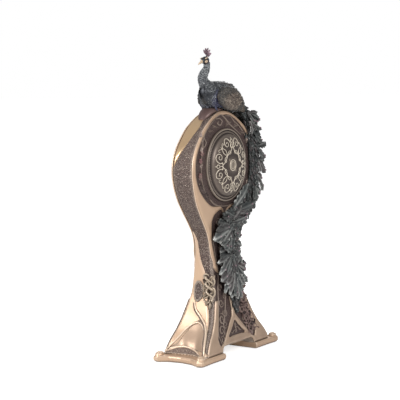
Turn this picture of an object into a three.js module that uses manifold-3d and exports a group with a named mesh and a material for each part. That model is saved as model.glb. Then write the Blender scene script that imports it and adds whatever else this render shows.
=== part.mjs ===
// Figural mantel clock: a waisted case on a flared foot, with a peacock on its round head.
// Units are millimetres, +Z is up, and the origin is on the floor under the middle of the case.
// The dial faces -Y. The bird looks towards +X, and its train falls down the -X side of the rear.
import * as THREE from "three";
import { mergeVertices } from "three/addons/utils/BufferGeometryUtils.js";
import Module from "manifold-3d";

const wasm = await Module();
wasm.setup();

// Case sizes
const bodyHeight = 320;
const headHalfWidth = 78;
const headHalfDepth = 15.6;
const cornerRadius = 3.4;
const rimHeight = 9;
const padThickness = 0.8;
const fitGap = 0.3;
const seatGap = 0.05;
const overrun = 2;
const weldDistance = 1e-4;

// Height as a share of the body height, then half width as a share of the head's half width
const widthShares = [
  [0, 1.08], [0.044, 0.97], [0.078, 0.883], [0.122, 0.728], [0.168, 0.606], [0.216, 0.519],
  [0.265, 0.452], [0.317, 0.436], [0.368, 0.43], [0.42, 0.434], [0.471, 0.456], [0.51, 0.51],
  [0.547, 0.606], [0.601, 0.76], [0.654, 0.89], [0.705, 0.96], [0.756, 0.998], [0.805, 0.98],
  [0.853, 0.9], [0.901, 0.75], [0.93, 0.635], [0.949, 0.54], [0.97, 0.405], [0.986, 0.27], [1, 0.12],
];
// Height as a share of the body height, then half depth as a share of the head's half depth
const depthShares = [
  [0, 2.2], [0.05, 2.03], [0.078, 1.93], [0.122, 1.75], [0.168, 1.57], [0.216, 1.36],
  [0.265, 1.18], [0.317, 1.05], [0.368, 0.95], [0.42, 0.84], [0.475, 0.76], [0.547, 0.78],
  [0.601, 0.84], [0.654, 0.91], [0.705, 0.98], [0.78, 1], [0.853, 0.96], [0.901, 0.925],
  [0.949, 0.87], [1, 0.76],
];
// How far the sides draw in between the toes, as a share of the head's half width
const sideDentShares = [[0, 0.1], [0.03, 0.09], [0.081, 0.06], [0.16, 0.02], [0.203, 0], [1, 0]];

// Foot plate sizes
const toeReach = 97;
const toeDepth = 39;
const footInnerDepth = 38;
const footWaist = 87;
const footEdge = 1.6;
const footCut = 3.4;
const toeKnob = { along: 7, across: 5.4, tall: 5, inset: 8.6 };
const arch = { halfWidth: 38, height: 16.5, corner: 7 };
const felt = { radius: 7, insetX: 22, insetY: 12 };

// Ornament thicknesses on the case
const frameThickness = 2.4;
const braceThickness = 2.2;
const apronThickness = 1.4;

// Movement sizes: the battery sets the width, and the battery and the wheels set the height
const movement = { top: 26.5, depth: 15.5, wall: 1.2, wheelRoom: 11.8, clearance: 1.33 };
const bush = { radius: 4, bore: 2.9, length: 3.2 };
const nut = { radius: 6.6, thickness: 1.2, sides: 6 };
const washer = { radius: 9.9, thickness: 0.6 };
const battery = { radius: 7.25, length: 50.5, nubRadius: 2.6, nub: 1.2, gap: 0.4 };
const contact = { thickness: 0.5, spring: 1, halfWidth: 4.5, halfHeight: 5.5, coneFoot: 3.6, coneTip: 1.8 };
const movementHalfWidth = battery.length / 2 + contact.spring + contact.thickness + movement.wall + seatGap;
const movementDrop = movement.wheelRoom + 2 * (movement.wall + battery.gap + battery.radius);

// Dial, cover and bore sizes: the bore takes the movement, and its rims follow the bore
const dialHeightShare = 0.78125;
const dialHeight = bodyHeight * dialHeightShare;
const boreRadius = Math.hypot(movementHalfWidth, movementDrop) + movement.clearance;
const bezel = { rim: 5.7, wall: 3, thickness: 3.6, lip: 1.2, edge: 1.3, roll: 1.8 };
const bezelRadius = boreRadius + bezel.rim;
const bezelOpening = boreRadius - bezel.wall;
const glass = { thickness: 1.4, rise: 3.2, ledge: 1.1 };
const bossRim = 7;
const bossRadius = boreRadius + bossRim;
const cover = {
  rim: 5.7, flange: 2.6, bead: 1.3, rise: 8.8, wall: 2.2, spigot: 5, spigotWall: 2.2, scroll: 1.1,
};
const coverRadius = boreRadius + cover.rim;
const dial = { thickness: 1, setBack: 4.5, markLength: 4, markWidth: 1.2, markRise: 0.35, markInset: 9 };

// Hands
const hand = { thickness: 0.5, rootShare: 0.6, bellyShare: 0.6 };
const hourHandSize = { length: 21, tail: 0, halfWidth: 1.6, hub: 3.4 };
const minuteHandSize = { length: 31, tail: 0, halfWidth: 1.25, hub: 2.7 };
const secondHandSize = { length: 31, tail: 8.8, halfWidth: 0.45, hub: 1.7 };
const handLevels = { hour: 2.6, minute: 3.8, second: 5 };

// Wheels and arbors
const arbor = { radius: 0.5, core: 1, pivotClearance: 0.15 };
const wheelThickness = 1;
const wheelPitch = 1.5;
const firstWheelGap = 0.5;
const runningGap = 0.2;
const knob = { radius: 6, thickness: 3, clearance: 0.6 };
const magnet = { radius: 3, length: 2.5 };

// Tooth counts and sizes: motion work 12 to 1, seconds train 30 to 1 and 60 to 1
const motionReach = 12;
const intermediateReach = 12.24;
const thirdReach = 11.9;
const rotorReach = 9;
const teeth = {
  cannon: 8, motion: 24, motionPinion: 8, hour: 32,
  secondPinion: 6, intermediate: 45, intermediatePinion: 6, centre: 48,
  second: 45, thirdPinion: 6, third: 24, rotorPinion: 6,
};
const toothTipShare = 0.75;
const toothRootShare = 1.2;

// Round pieces
const fineSides = 32;
const coarseSides = 16;
const pivotSides = 8;

// Colours
const paint = {
  gold: [0xd8b88c, 0.4, 0.6], dark: [0x5a4c44, 0.6, 0.4], bird: [0x34424c, 0.6, 0.2],
  crest: [0x8a6a78, 0.7, 0.1], train: [0x3c4640, 0.6, 0.3], wing: [0x6f6048, 0.6, 0.3],
  bronze: [0x8a7a68, 0.5, 0.6], steel: [0xb8bcc0, 0.3, 0.9], brass: [0xc8a850, 0.35, 0.9],
  plastic: [0x202226, 0.6, 0], white: [0xece6d8, 0.6, 0], glass: [0xdfe8ea, 0.05, 0],
  felt: [0x2c2a28, 0.95, 0], green: [0x2c6a40, 0.6, 0], copper: [0xb06a3c, 0.4, 0.7],
};

const root = new THREE.Group();

// Turns a closed geometry into a solid with its faces out
function solidOf(geometry) {
  const bare = new THREE.BufferGeometry();
  bare.setAttribute("position", geometry.getAttribute("position"));
  if (geometry.index) bare.setIndex(geometry.index);
  const merged = mergeVertices(bare, weldDistance);
  const triVerts = new Uint32Array(merged.index.array);
  const vertProperties = merged.attributes.position.array;
  const made = new wasm.Manifold(new wasm.Mesh({ numProp: 3, vertProperties, triVerts }));
  if (made.volume() > 0) return made;
  for (let i = 0; i < triVerts.length; i += 3) {
    [triVerts[i + 1], triVerts[i + 2]] = [triVerts[i + 2], triVerts[i + 1]];
  }
  return new wasm.Manifold(new wasm.Mesh({ numProp: 3, vertProperties, triVerts }));
}

// Adds a solid to the model as one named mesh
function addPart(name, solid, look) {
  const mesh = solid.getMesh();
  const geometry = new THREE.BufferGeometry();
  const points = new Float32Array(mesh.numVert * 3);
  for (let i = 0; i < mesh.numVert; i++) {
    points.set(mesh.vertProperties.subarray(i * mesh.numProp, i * mesh.numProp + 3), i * 3);
  }
  geometry.setAttribute("position", new THREE.BufferAttribute(points, 3));
  geometry.setIndex(new THREE.BufferAttribute(mesh.triVerts, 1));
  geometry.computeVertexNormals();
  const [color, roughness, metalness] = look;
  const part = new THREE.Mesh(geometry, new THREE.MeshStandardMaterial({ color, roughness, metalness }));
  part.name = name;
  root.add(part);
}

// Reads a table of shares at t, in straight steps
function readShare(table, t) {
  for (let i = 1; i < table.length; i++) {
    const [t0, v0] = table[i - 1];
    const [t1, v1] = table[i];
    if (t <= t1) return v0 + ((v1 - v0) * Math.max(0, t - t0)) / (t1 - t0);
  }
  return table[table.length - 1][1];
}

function caseHalfWidth(z) {
  return headHalfWidth * readShare(widthShares, z / bodyHeight);
}

function caseHalfDepth(z) {
  return headHalfDepth * readShare(depthShares, z / bodyHeight);
}

// Joins rings of equally many points into a closed skin, with a fan at each end
function loft(rings) {
  const count = rings[0].length;
  const points = rings.flat();
  const index = [];
  for (let r = 0; r + 1 < rings.length; r++) {
    for (let i = 0; i < count; i++) {
      const a = r * count + i;
      const b = r * count + ((i + 1) % count);
      index.push(a, b, b + count, a, b + count, a + count);
    }
  }
  [0, rings.length - 1].forEach((r) => {
    const middle = new THREE.Vector3();
    rings[r].forEach((p) => middle.addScaledVector(p, 1 / count));
    points.push(middle);
    for (let i = 0; i < count; i++) {
      const a = r * count + i;
      const b = r * count + ((i + 1) % count);
      index.push(...(r === 0 ? [points.length - 1, b, a] : [points.length - 1, a, b]));
    }
  });
  const geometry = new THREE.BufferGeometry().setFromPoints(points);
  geometry.setIndex(index);
  return solidOf(geometry);
}

// Extrudes an outline of (x, z) points from y0 to y1
function prismAlongY(outline, y0, y1, holes = []) {
  const rim = outline.map(([x, z]) => new THREE.Vector2(x, z));
  const shape = new THREE.Shape(THREE.ShapeUtils.isClockWise(rim) ? rim.reverse() : rim);
  holes.forEach((hole) => {
    shape.holes.push(new THREE.Path(hole.map(([x, z]) => new THREE.Vector2(x, z))));
  });
  const geometry = new THREE.ExtrudeGeometry(shape, { depth: y1 - y0, bevelEnabled: false });
  geometry.rotateX(Math.PI / 2);
  geometry.translate(0, y1, 0);
  return solidOf(geometry);
}

// Extrudes an outline of (y, z) points from x0 to x1
function prismAlongX(outline, x0, x1, holes = []) {
  const solid = prismAlongY(outline, -x1, -x0, holes);
  const mesh = solid.getMesh();
  const points = [];
  for (let i = 0; i < mesh.numVert; i++) {
    const [a, b, c] = mesh.vertProperties.subarray(i * mesh.numProp, i * mesh.numProp + 3);
    points.push(new THREE.Vector3(-b, a, c));
  }
  const geometry = new THREE.BufferGeometry().setFromPoints(points);
  geometry.setIndex([...mesh.triVerts]);
  return solidOf(geometry);
}

function box(x0, x1, y0, y1, z0, z1) {
  const geometry = new THREE.BoxGeometry(x1 - x0, y1 - y0, z1 - z0);
  geometry.translate((x0 + x1) / 2, (y0 + y1) / 2, (z0 + z1) / 2);
  return solidOf(geometry);
}

// Turns a closed profile of (radius, y) points about an axis along Y at (x, z)
function turnedAlongY(profile, x, z, sides = fineSides) {
  const closed = profile.map(([r, y]) => new THREE.Vector2(r, y));
  const geometry = new THREE.LatheGeometry(closed, sides);
  geometry.translate(x, 0, z);
  return solidOf(geometry);
}

function rodAlongY(radius, y0, y1, x, z, sides = coarseSides) {
  return turnedAlongY([[0, y0], [radius, y0], [radius, y1], [0, y1]], x, z, sides);
}

function ringAlongY(inner, outer, y0, y1, x, z, sides = coarseSides) {
  const profile = [[inner, y0], [outer, y0], [outer, y1], [inner, y1], [inner, y0]];
  return turnedAlongY(profile, x, z, sides);
}

function joined(solids) {
  return solids.reduce((all, one) => all.add(one));
}

// The largest of a cut solid's bodies, without the slivers that a cut leaves at an edge
const mainBody = (solid) => (
  solid.decompose().reduce((kept, body) => (body.volume() > kept.volume() ? body : kept))
);

// Mirrors a solid across the plane where x or y is zero
function mirrored(solid, axis) {
  const mesh = solid.getMesh();
  const points = [];
  for (let i = 0; i < mesh.numVert; i++) {
    const point = new THREE.Vector3().fromArray(mesh.vertProperties, i * mesh.numProp);
    point[axis] = -point[axis];
    points.push(point);
  }
  const geometry = new THREE.BufferGeometry().setFromPoints(points);
  geometry.setIndex([...mesh.triVerts]);
  return solidOf(geometry);
}

// One section of the case: a rounded rectangle whose sides draw in near the foot
const sideStepShares = [0.55];
const cornerSteps = 2;
function caseRing(z, grow, lift) {
  const w = caseHalfWidth(z) + grow;
  const h = caseHalfDepth(z) + grow;
  const dent = headHalfWidth * readShare(sideDentShares, z / bodyHeight);
  const quarter = [[w - dent, 0]];
  sideStepShares.forEach((s) => quarter.push([w - dent * (1 - s * s), s * (h - cornerRadius)]));
  for (let i = 0; i <= cornerSteps; i++) {
    const turn = (i / cornerSteps) * (Math.PI / 2);
    const x = w - cornerRadius * (1 - Math.cos(turn));
    quarter.push([x, h - cornerRadius * (1 - Math.sin(turn))]);
  }
  const outline = [
    ...quarter,
    ...quarter.slice(1).reverse().map(([x, y]) => [-x, y]),
    ...quarter.map(([x, y]) => [-x, -y]),
    ...quarter.slice(1).reverse().map(([x, y]) => [x, -y]),
  ];
  return outline.map(([x, y]) => new THREE.Vector3(x, y, lift));
}

// The case's outer form, grown by a little where an ornament has to follow it
function caseForm(grow) {
  const rows = widthShares.map(([t]) => t * bodyHeight).filter((z) => z > rimHeight);
  const rise = (z) => Math.max(0, z - dialHeight) / (bodyHeight - dialHeight);
  const rings = [rimHeight, ...rows].map((z) => caseRing(z, grow, z + grow * rise(z)));
  return loft(rings);
}

// The head carries a flat round boss on both faces, so that the cover and bezel seat flat
const faceY = headHalfDepth;
const caseBlank = caseForm(0).add(rodAlongY(bossRadius, -faceY, faceY, 0, dialHeight, fineSides));
const clearBossReach = faceY + fitGap;
const clearBoss = rodAlongY(bossRadius + fitGap, -clearBossReach, clearBossReach, 0, dialHeight, fineSides);
const caseClear = caseForm(fitGap).add(clearBoss);

// A wide slab that stops short of both faces, to part what lies on a face from what lies on a side
const edgeSplitShare = 0.4;
const edgeSplit = cornerRadius * edgeSplitShare;
function slabForm(shortfall) {
  const reach = toeReach + overrun;
  const rows = depthShares.map(([t]) => t * bodyHeight).filter((z) => z > rimHeight);
  const rings = [rimHeight, ...rows, bodyHeight + overrun].map((z) => {
    const h = caseHalfDepth(z) - shortfall;
    return [[reach, -h], [reach, h], [-reach, h], [-reach, -h]].map(([x, y]) => new THREE.Vector3(x, y, z));
  });
  return loft(rings);
}
const faceSlab = slabForm(edgeSplit);
const sideSlab = slabForm(edgeSplit + fitGap);

// A slice of the case's skin on its rear (side 1) or front (side -1), from an outline of (x, z) points
function skinOnFace(side, outline, thickness, holes = []) {
  const far = toeDepth + thickness + overrun;
  const block = prismAlongY(outline, side > 0 ? 0 : -far, side > 0 ? far : 0, holes);
  return block.intersect(caseForm(thickness)).subtract(caseClear).subtract(faceSlab);
}

// The same on the side that faces +X (side 1) or -X (side -1), from an outline of (y, z) points
function skinOnSide(side, outline, thickness, holes = []) {
  const far = toeReach + overrun;
  const block = prismAlongX(outline, side > 0 ? 0 : -far, side > 0 ? far : 0, holes);
  return block.intersect(caseForm(thickness)).subtract(caseClear).intersect(sideSlab);
}

// Case body with its through bore and the arch between the feet
const archCornerSteps = 4;
function archOutline(low) {
  const { halfWidth: a, height: h, corner: r } = arch;
  const points = [[-a, low], [a, low]];
  const steps = archCornerSteps;
  for (let i = 0; i <= steps; i++) {
    const turn = (i / steps) * (Math.PI / 2);
    points.push([a - r * (1 - Math.cos(turn)), h - r * (1 - Math.sin(turn))]);
  }
  for (let i = steps; i >= 0; i--) {
    const turn = (i / steps) * (Math.PI / 2);
    points.push([-a + r * (1 - Math.cos(turn)), h - r * (1 - Math.sin(turn))]);
  }
  return points;
}

const boreReach = faceY + overrun;
const bore = rodAlongY(boreRadius, -boreReach, boreReach, 0, dialHeight, fineSides);
const archReach = toeDepth + overrun;
const archCut = prismAlongY(archOutline(-overrun), -archReach, archReach);
addPart("case_body", caseBlank.subtract(bore).subtract(archCut), paint.dark);

// Foot plates: a rim with two toes and a knob on each toe
const footRimShares = [[0, 1], [0.28, 0], [0.72, 0], [1, 1]];
// Points between the waist of the foot and the tip of its toe: the way out, then the share of the depth
const toeOutlineShares = [[0, 0], [0.22, 0.45], [1, 0.8]];
const footSideShares = [[0.7, 0.97]];
function footOutline(inset) {
  const tip = toeReach - inset;
  const y = toeDepth - inset;
  const waist = footWaist - inset;
  const half = [
    ...toeOutlineShares.map(([out, deep]) => [waist + (tip - waist) * out, y * deep]),
    [tip - footEdge, y - footEdge],
    [tip - footCut - footEdge, y],
    ...footSideShares.map(([out, deep]) => [tip * out, y * deep]),
    [arch.halfWidth, footInnerDepth - inset],
  ];
  return [...half, ...half.slice(1).reverse().map(([a, b]) => [a, -b])];
}

function makeFoot() {
  const rings = footRimShares.map(([level, tuck]) => {
    const z = padThickness + level * (rimHeight - padThickness);
    return footOutline(tuck * footEdge).map(([x, y]) => new THREE.Vector3(x, y, z));
  });
  let foot = loft(rings);
  [1, -1].forEach((side) => {
    const knob = new THREE.SphereGeometry(1, 10, 8);
    knob.rotateX(Math.PI / 2);
    knob.scale(toeKnob.along, toeKnob.across, toeKnob.tall);
    const y = side * (toeDepth - toeKnob.across - footEdge);
    knob.translate(toeReach - toeKnob.inset, y, rimHeight);
    foot = foot.add(solidOf(knob).subtract(caseForm(braceThickness + fitGap)));
  });
  return foot;
}

const footRight = makeFoot();
addPart("foot_right", footRight, paint.gold);
addPart("foot_left", mirrored(footRight, "x"), paint.gold);

["right", "left"].forEach((name, i) => {
  ["rear", "front"].forEach((place, j) => {
    const x = (i ? -1 : 1) * (toeReach - felt.insetX);
    const y = (j ? -1 : 1) * (toeDepth - felt.insetY);
    const disc = new THREE.CylinderGeometry(felt.radius, felt.radius, padThickness, pivotSides);
    disc.rotateX(Math.PI / 2);
    disc.translate(x, y, padThickness / 2);
    addPart(`felt_pad_${name}_${place}`, solidOf(disc), paint.felt);
  });
});

// A point on the face, from a share of the case's half width there and a share of its height
const onFace = ([wide, high]) => [wide * caseHalfWidth(high * bodyHeight), high * bodyHeight];
const flip = (points) => points.map(([x, z]) => [-x, z]).reverse();

// Face frame: a strip round the head, a web under the dial and a tip down each edge of the waist
const frameOuterShares = [
  [0.62, 0.342], [0.89, 0.362], [0.93, 0.395], [1, 0.428], [1, 0.469], [1, 0.51], [1, 0.55], [1, 0.575],
  [1, 0.61], [1, 0.645], [1, 0.69], [1, 0.73], [1, 0.758], [1, 0.798], [1, 0.83], [1, 0.862],
  [1, 0.888], [1, 0.91], [1, 0.94], [1, 0.977], [1, 0.992], [1, 1.02],
];
const frameInnerShares = [
  [0, 0.985], [0.51, 0.985], [0.78, 0.968], [0.85, 0.943], [0.885, 0.912], [0.91, 0.866],
  [0.92, 0.834], [0.925, 0.796], [0.915, 0.75], [0.88, 0.706], [0.79, 0.672], [0.643, 0.638],
  [0.5, 0.62], [0.34, 0.616], [0.19, 0.614], [0.1, 0.604], [0, 0.586],
];
const frameLowerShares = [
  [0, 0.574], [0.14, 0.597], [0.25, 0.597], [0.36, 0.59], [0.48, 0.58], [0.6, 0.561],
  [0.69, 0.5375], [0.79, 0.506], [0.86, 0.466], [0.82, 0.43], [0.75, 0.394], [0.68, 0.363],
];
const edgeGap = fitGap / 2;
const frameOuter = frameOuterShares.map((share) => {
  const [x, z] = onFace(share);
  return [share[0] === 1 ? x + edgeGap : x, z];
});
const frameInner = frameInnerShares.map(onFace);
const frameLower = frameLowerShares.map(onFace);
const frameRight = [...frameLower, ...frameOuter];
const frameOutline = [...frameRight, ...flip(frameRight).slice(0, -1)];
const frameWindow = [...frameInner, ...flip(frameInner).slice(1, -1)];
addPart("rear_frame", skinOnFace(1, frameOutline, frameThickness, [frameWindow]), paint.gold);
addPart("front_frame", skinOnFace(-1, frameOutline, frameThickness, [frameWindow]), paint.gold);

// Foot brace: an A shape over the arch, a foot plane at each side and a strip up each edge
const braceEdgeShare = 0.06;
const braceEdge = caseHalfWidth(rimHeight) * braceEdgeShare;
const bracePanelShares = [
  [0.09, 0.24], [0.06, 0.19], [0.1, 0.165], [0.4, 0.094], [0.48, 0.066], [0.56, 0.056], [0.61, 0.066],
  [0.67, 0.085], [0.72, 0.12], [0.75, 0.156], [0.765, 0.2], [0.77, 0.235],
];
const braceOuterShares = [
  [0.965, 0.235], [0.97, 0.16], [0.97, 0.119], [0.975, 0.081], [0.975, 0.06], [0.975, 0.044],
];
const braceTriangleShares = [[0, 0.141], [0.29, 0.0835], [-0.29, 0.0835]];
const braceArch = archOutline(rimHeight).slice(2).filter(([x]) => x > 0);
const braceRight = [
  ...bracePanelShares.map(onFace),
  ...braceOuterShares.map(onFace),
  [caseHalfWidth(rimHeight) - braceEdge, rimHeight],
  [arch.halfWidth + fitGap, rimHeight],
  ...braceArch.map(([x, z]) => [x, z + fitGap]),
];
const braceOutline = [...braceRight, ...flip(braceRight)];
const braceTriangle = braceTriangleShares.map(onFace);
addPart("rear_brace", skinOnFace(1, braceOutline, braceThickness, [braceTriangle]), paint.gold);
addPart("front_brace", skinOnFace(-1, braceOutline, braceThickness, [braceTriangle]), paint.gold);

// Side apron: the smooth flank with its drape arch and an oval for the cartouche
const onSide = ([deep, high]) => [deep * caseHalfDepth(high * bodyHeight), high * bodyHeight];
const apronShares = [
  [-0.94, 0.03], [-0.94, 0.06], [-0.93, 0.12], [-0.92, 0.2], [-0.91, 0.28], [-0.9, 0.366], [-0.9, 0.44],
  [-0.9, 0.52], [-0.5, 0.484], [-0.37, 0.44], [-0.14, 0.394], [0.2, 0.356], [0.47, 0.32], [0.55, 0.25],
  [0.65, 0.2], [0.73, 0.16], [0.79, 0.12], [0.86, 0.06], [0.9, 0.03],
];
const nicheShares = [
  [0.27, 0.155], [0.07, 0.152], [-0.2, 0.137], [-0.46, 0.097], [-0.58, 0.065], [-0.79, 0.046],
  [0.78, 0.052], [0.7, 0.078], [0.62, 0.112], [0.47, 0.143],
];
const cartouche = { deepShare: -0.25, highShare: 0.271, halfWidth: 7.3, halfHeight: 13.3, thickness: 2.6 };
const ovalSteps = 18;
function ovalOutline(grow) {
  const y = cartouche.deepShare * caseHalfDepth(cartouche.highShare * bodyHeight);
  const z = cartouche.highShare * bodyHeight;
  return Array.from({ length: ovalSteps }, (_, i) => {
    const turn = (i / ovalSteps) * 2 * Math.PI;
    const wide = (cartouche.halfWidth + grow) * Math.cos(turn);
    return [y + wide, z + (cartouche.halfHeight + grow) * Math.sin(turn)];
  });
}
const apronHoles = [nicheShares.map(onSide), ovalOutline(fitGap)];
[["right", 1], ["left", -1]].forEach(([name, side]) => {
  const apron = skinOnSide(side, apronShares.map(onSide), apronThickness, apronHoles);
  addPart(`side_apron_${name}`, apron, paint.gold);
  addPart(`cartouche_${name}`, skinOnSide(side, ovalOutline(0), cartouche.thickness), paint.bronze);
});

const apronClear = skinOnSide(1, apronShares.map(onSide), apronThickness + fitGap, apronHoles);

// A tube of round sections along a smooth curve through the points, with a radius at each point
function tubeAlong(points, radii, sides, steps) {
  const curve = new THREE.CatmullRomCurve3(points);
  const frames = curve.computeFrenetFrames(steps, false);
  const rings = [];
  for (let i = 0; i <= steps; i++) {
    const t = i / steps;
    const centre = curve.getPoint(t);
    const place = t * (radii.length - 1);
    const low = Math.min(Math.floor(place), radii.length - 2);
    const radius = radii[low] + (radii[low + 1] - radii[low]) * (place - low);
    const ring = [];
    for (let k = 0; k < sides; k++) {
      const turn = (k / sides) * 2 * Math.PI;
      const point = centre.clone();
      point.addScaledVector(frames.normals[i], radius * Math.cos(turn));
      point.addScaledVector(frames.binormals[i], radius * Math.sin(turn));
      ring.push(point);
    }
    rings.push(ring);
  }
  return loft(rings);
}

// Vine knot: two stems twisted together round the rear edge of the waist
const vine = { radius: 2.4, reach: 4.4, tuck: 5, lowShare: 0.247, highShare: 0.335, turns: 1.5, points: 9 };
const vineTaperShares = [0.7, 1, 1, 0.8];
const vineSides = 5;
const vineSteps = 12;
function vineStem(phase, grow = 0) {
  const points = [];
  for (let i = 0; i < vine.points; i++) {
    const t = i / (vine.points - 1);
    const z = bodyHeight * (vine.lowShare + (vine.highShare - vine.lowShare) * t);
    const turn = phase + t * vine.turns * 2 * Math.PI;
    const x = caseHalfWidth(z) + vine.radius * (1 - Math.cos(turn + 1));
    const y = caseHalfDepth(z) - vine.tuck + vine.reach * Math.cos(turn);
    points.push(new THREE.Vector3(x, y, z));
  }
  const radii = vineTaperShares.map((share) => vine.radius * share + grow);
  return tubeAlong(points, radii, vineSides, vineSteps);
}
const vineStems = vineStem(0).add(vineStem(Math.PI)).subtract(caseClear);
const vineKnot = vineStems.subtract(apronClear).subtract(apronClear.translate([0, fitGap, 0]));
addPart("vine_knot", mainBody(vineKnot), paint.gold);

// Dial side: bezel, glass, plate
const seatY = faceY + seatGap;
const bezelFront = faceY + bezel.thickness;
const plateFront = faceY - dial.setBack;
const glassBack = bezelFront - bezel.lip - glass.thickness;
const glassRadius = bezelOpening + glass.ledge;
const tubeRadius = boreRadius - fitGap;
const lipRadius = bezelOpening - bezel.lip;
const bezelProfile = [
  [bezelOpening, plateFront + seatGap],
  [tubeRadius, plateFront + seatGap],
  [tubeRadius, seatY],
  [bezelRadius, seatY],
  [bezelRadius, faceY + bezel.edge],
  [bezelRadius - bezel.roll, bezelFront - bezel.lip / 2],
  [bezelRadius - bezel.roll * 2, bezelFront],
  [bezelOpening + bezel.lip, bezelFront],
  [lipRadius, bezelFront - bezel.lip / 2],
  [lipRadius, glassBack + glass.thickness + seatGap],
  [glassRadius + seatGap, glassBack + glass.thickness + seatGap],
  [glassRadius + seatGap, glassBack - seatGap],
  [bezelOpening, glassBack - seatGap],
];
// Profiles on the dial side are written outwards from the case, so they are turned to face -Y
const facingFront = (profile) => profile.map(([r, y]) => [r, -y]);
const closedProfile = (profile) => [...profile, profile[0]];
const bezelSolid = turnedAlongY(closedProfile(facingFront(bezelProfile)), 0, dialHeight);
addPart("dial_bezel", bezelSolid, paint.gold);

const glassShares = [0, 0.45, 0.8, 1];
const glassEdge = lipRadius - seatGap * 2;
const domeRise = (t) => glass.rise * (1 - t * t);
const glassProfile = [
  ...glassShares.map((t) => [t * glassEdge, glassBack + domeRise(t)]),
  [glassRadius, glassBack],
  [glassRadius, glassBack + glass.thickness],
  ...[...glassShares].reverse().map((t) => [t * glassEdge, glassBack + glass.thickness + domeRise(t)]),
];
addPart("dial_glass", turnedAlongY(facingFront(glassProfile), 0, dialHeight), paint.glass);

function makeDialPlate() {
  const plateBack = plateFront - dial.thickness;
  let plate = ringAlongY(bush.radius + fitGap, tubeRadius, -plateFront, -plateBack, 0, dialHeight, fineSides);
  for (let hour = 0; hour < 12; hour++) {
    const mark = new THREE.BoxGeometry(dial.markWidth, dial.markRise * 2, dial.markLength);
    mark.translate(0, -plateFront, boreRadius - dial.markInset);
    mark.rotateY((hour / 12) * 2 * Math.PI);
    mark.translate(0, 0, dialHeight);
    plate = plate.add(solidOf(mark));
  }
  return plate;
}
addPart("dial_plate", makeDialPlate(), paint.white);

// Movement levels along Y, from the plate towards the rear
const plateBackY = -plateFront + dial.thickness;
const movementFront = plateBackY + washer.thickness;
const movementRear = movementFront + movement.depth;
const innerFront = movementFront + movement.wall;
const innerRear = movementRear - movement.wall;
const movementTop = dialHeight + movement.top;
const movementLow = dialHeight - movementDrop;
const innerWidth = movementHalfWidth - movement.wall;
const washerFront = plateBackY + seatGap;
const washerBack = movementFront - seatGap;
const washerRing = ringAlongY(bush.radius + fitGap, washer.radius, washerFront, washerBack, 0, dialHeight);
addPart("rubber_washer", washerRing, paint.felt);
const nutBack = -plateFront - seatGap;
const nutBlank = rodAlongY(nut.radius, nutBack - nut.thickness, nutBack, 0, dialHeight, nut.sides);
const nutHole = rodAlongY(bush.radius + runningGap, nutBack - overrun, nutBack + overrun, 0, dialHeight);
const nutRing = nutBlank.subtract(nutHole);
addPart("mounting_nut", nutRing, paint.brass);

const wheelLevel = (n) => innerFront + firstWheelGap + n * wheelPitch;

// Arbor places, and tooth sizes from the meshing distances
const toothSize = (reach, pinionCount, wheelCount) => (2 * reach) / (pinionCount + wheelCount);
const cannonModule = toothSize(motionReach, teeth.cannon, teeth.motion);
const hourModule = toothSize(motionReach, teeth.motionPinion, teeth.hour);
const minuteDriveModule = toothSize(intermediateReach, teeth.intermediatePinion, teeth.centre);
const intermediateModule = toothSize(intermediateReach, teeth.secondPinion, teeth.intermediate);
const thirdModule = toothSize(thirdReach, teeth.thirdPinion, teeth.second);
const rotorModule = toothSize(rotorReach, teeth.rotorPinion, teeth.third);
const rotorAngle = Math.PI / 4;
const centreAt = [0, dialHeight];
const motionAt = [motionReach, dialHeight];
const intermediateAt = [-intermediateReach, dialHeight];
const thirdAt = [0, dialHeight + thirdReach];
const rotorAt = [
  thirdAt[0] + rotorReach * Math.cos(rotorAngle),
  thirdAt[1] + rotorReach * Math.sin(rotorAngle),
];

// Tooth phase of a wheel that meshes with another one, which lies at an angle from it
function meshedPhase(phase, count, angle, otherCount) {
  const pitch = (2 * Math.PI) / count;
  const otherPitch = (2 * Math.PI) / otherCount;
  return angle + Math.PI - otherPitch * ((phase - angle) / pitch + 0.5);
}

// A toothed disc with pointed teeth
function gear(count, size, level, [x, z], phase, bored = 0) {
  const pitch = (2 * Math.PI) / count;
  const pitchRadius = (count * size) / 2;
  const tip = pitchRadius + toothTipShare * size;
  const low = pitchRadius - toothRootShare * size;
  const outline = [];
  for (let i = 0; i < count * 2; i++) {
    const radius = i % 2 ? low : tip;
    const angle = phase + (i / 2) * pitch;
    outline.push([x + radius * Math.cos(angle), z + radius * Math.sin(angle)]);
  }
  const y0 = wheelLevel(level);
  const disc = prismAlongY(outline, y0, y0 + wheelThickness);
  if (!bored) return disc;
  return disc.subtract(rodAlongY(bored, y0 - overrun, y0 + wheelThickness + overrun, x, z));
}

const pivotReach = movement.wall * 0.6;
const pivotFront = innerFront - pivotReach;
const pivotRear = innerRear + pivotReach;
const arborRod = (y0, y1, [x, z]) => rodAlongY(arbor.radius, y0, y1, x, z, pivotSides);

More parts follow.
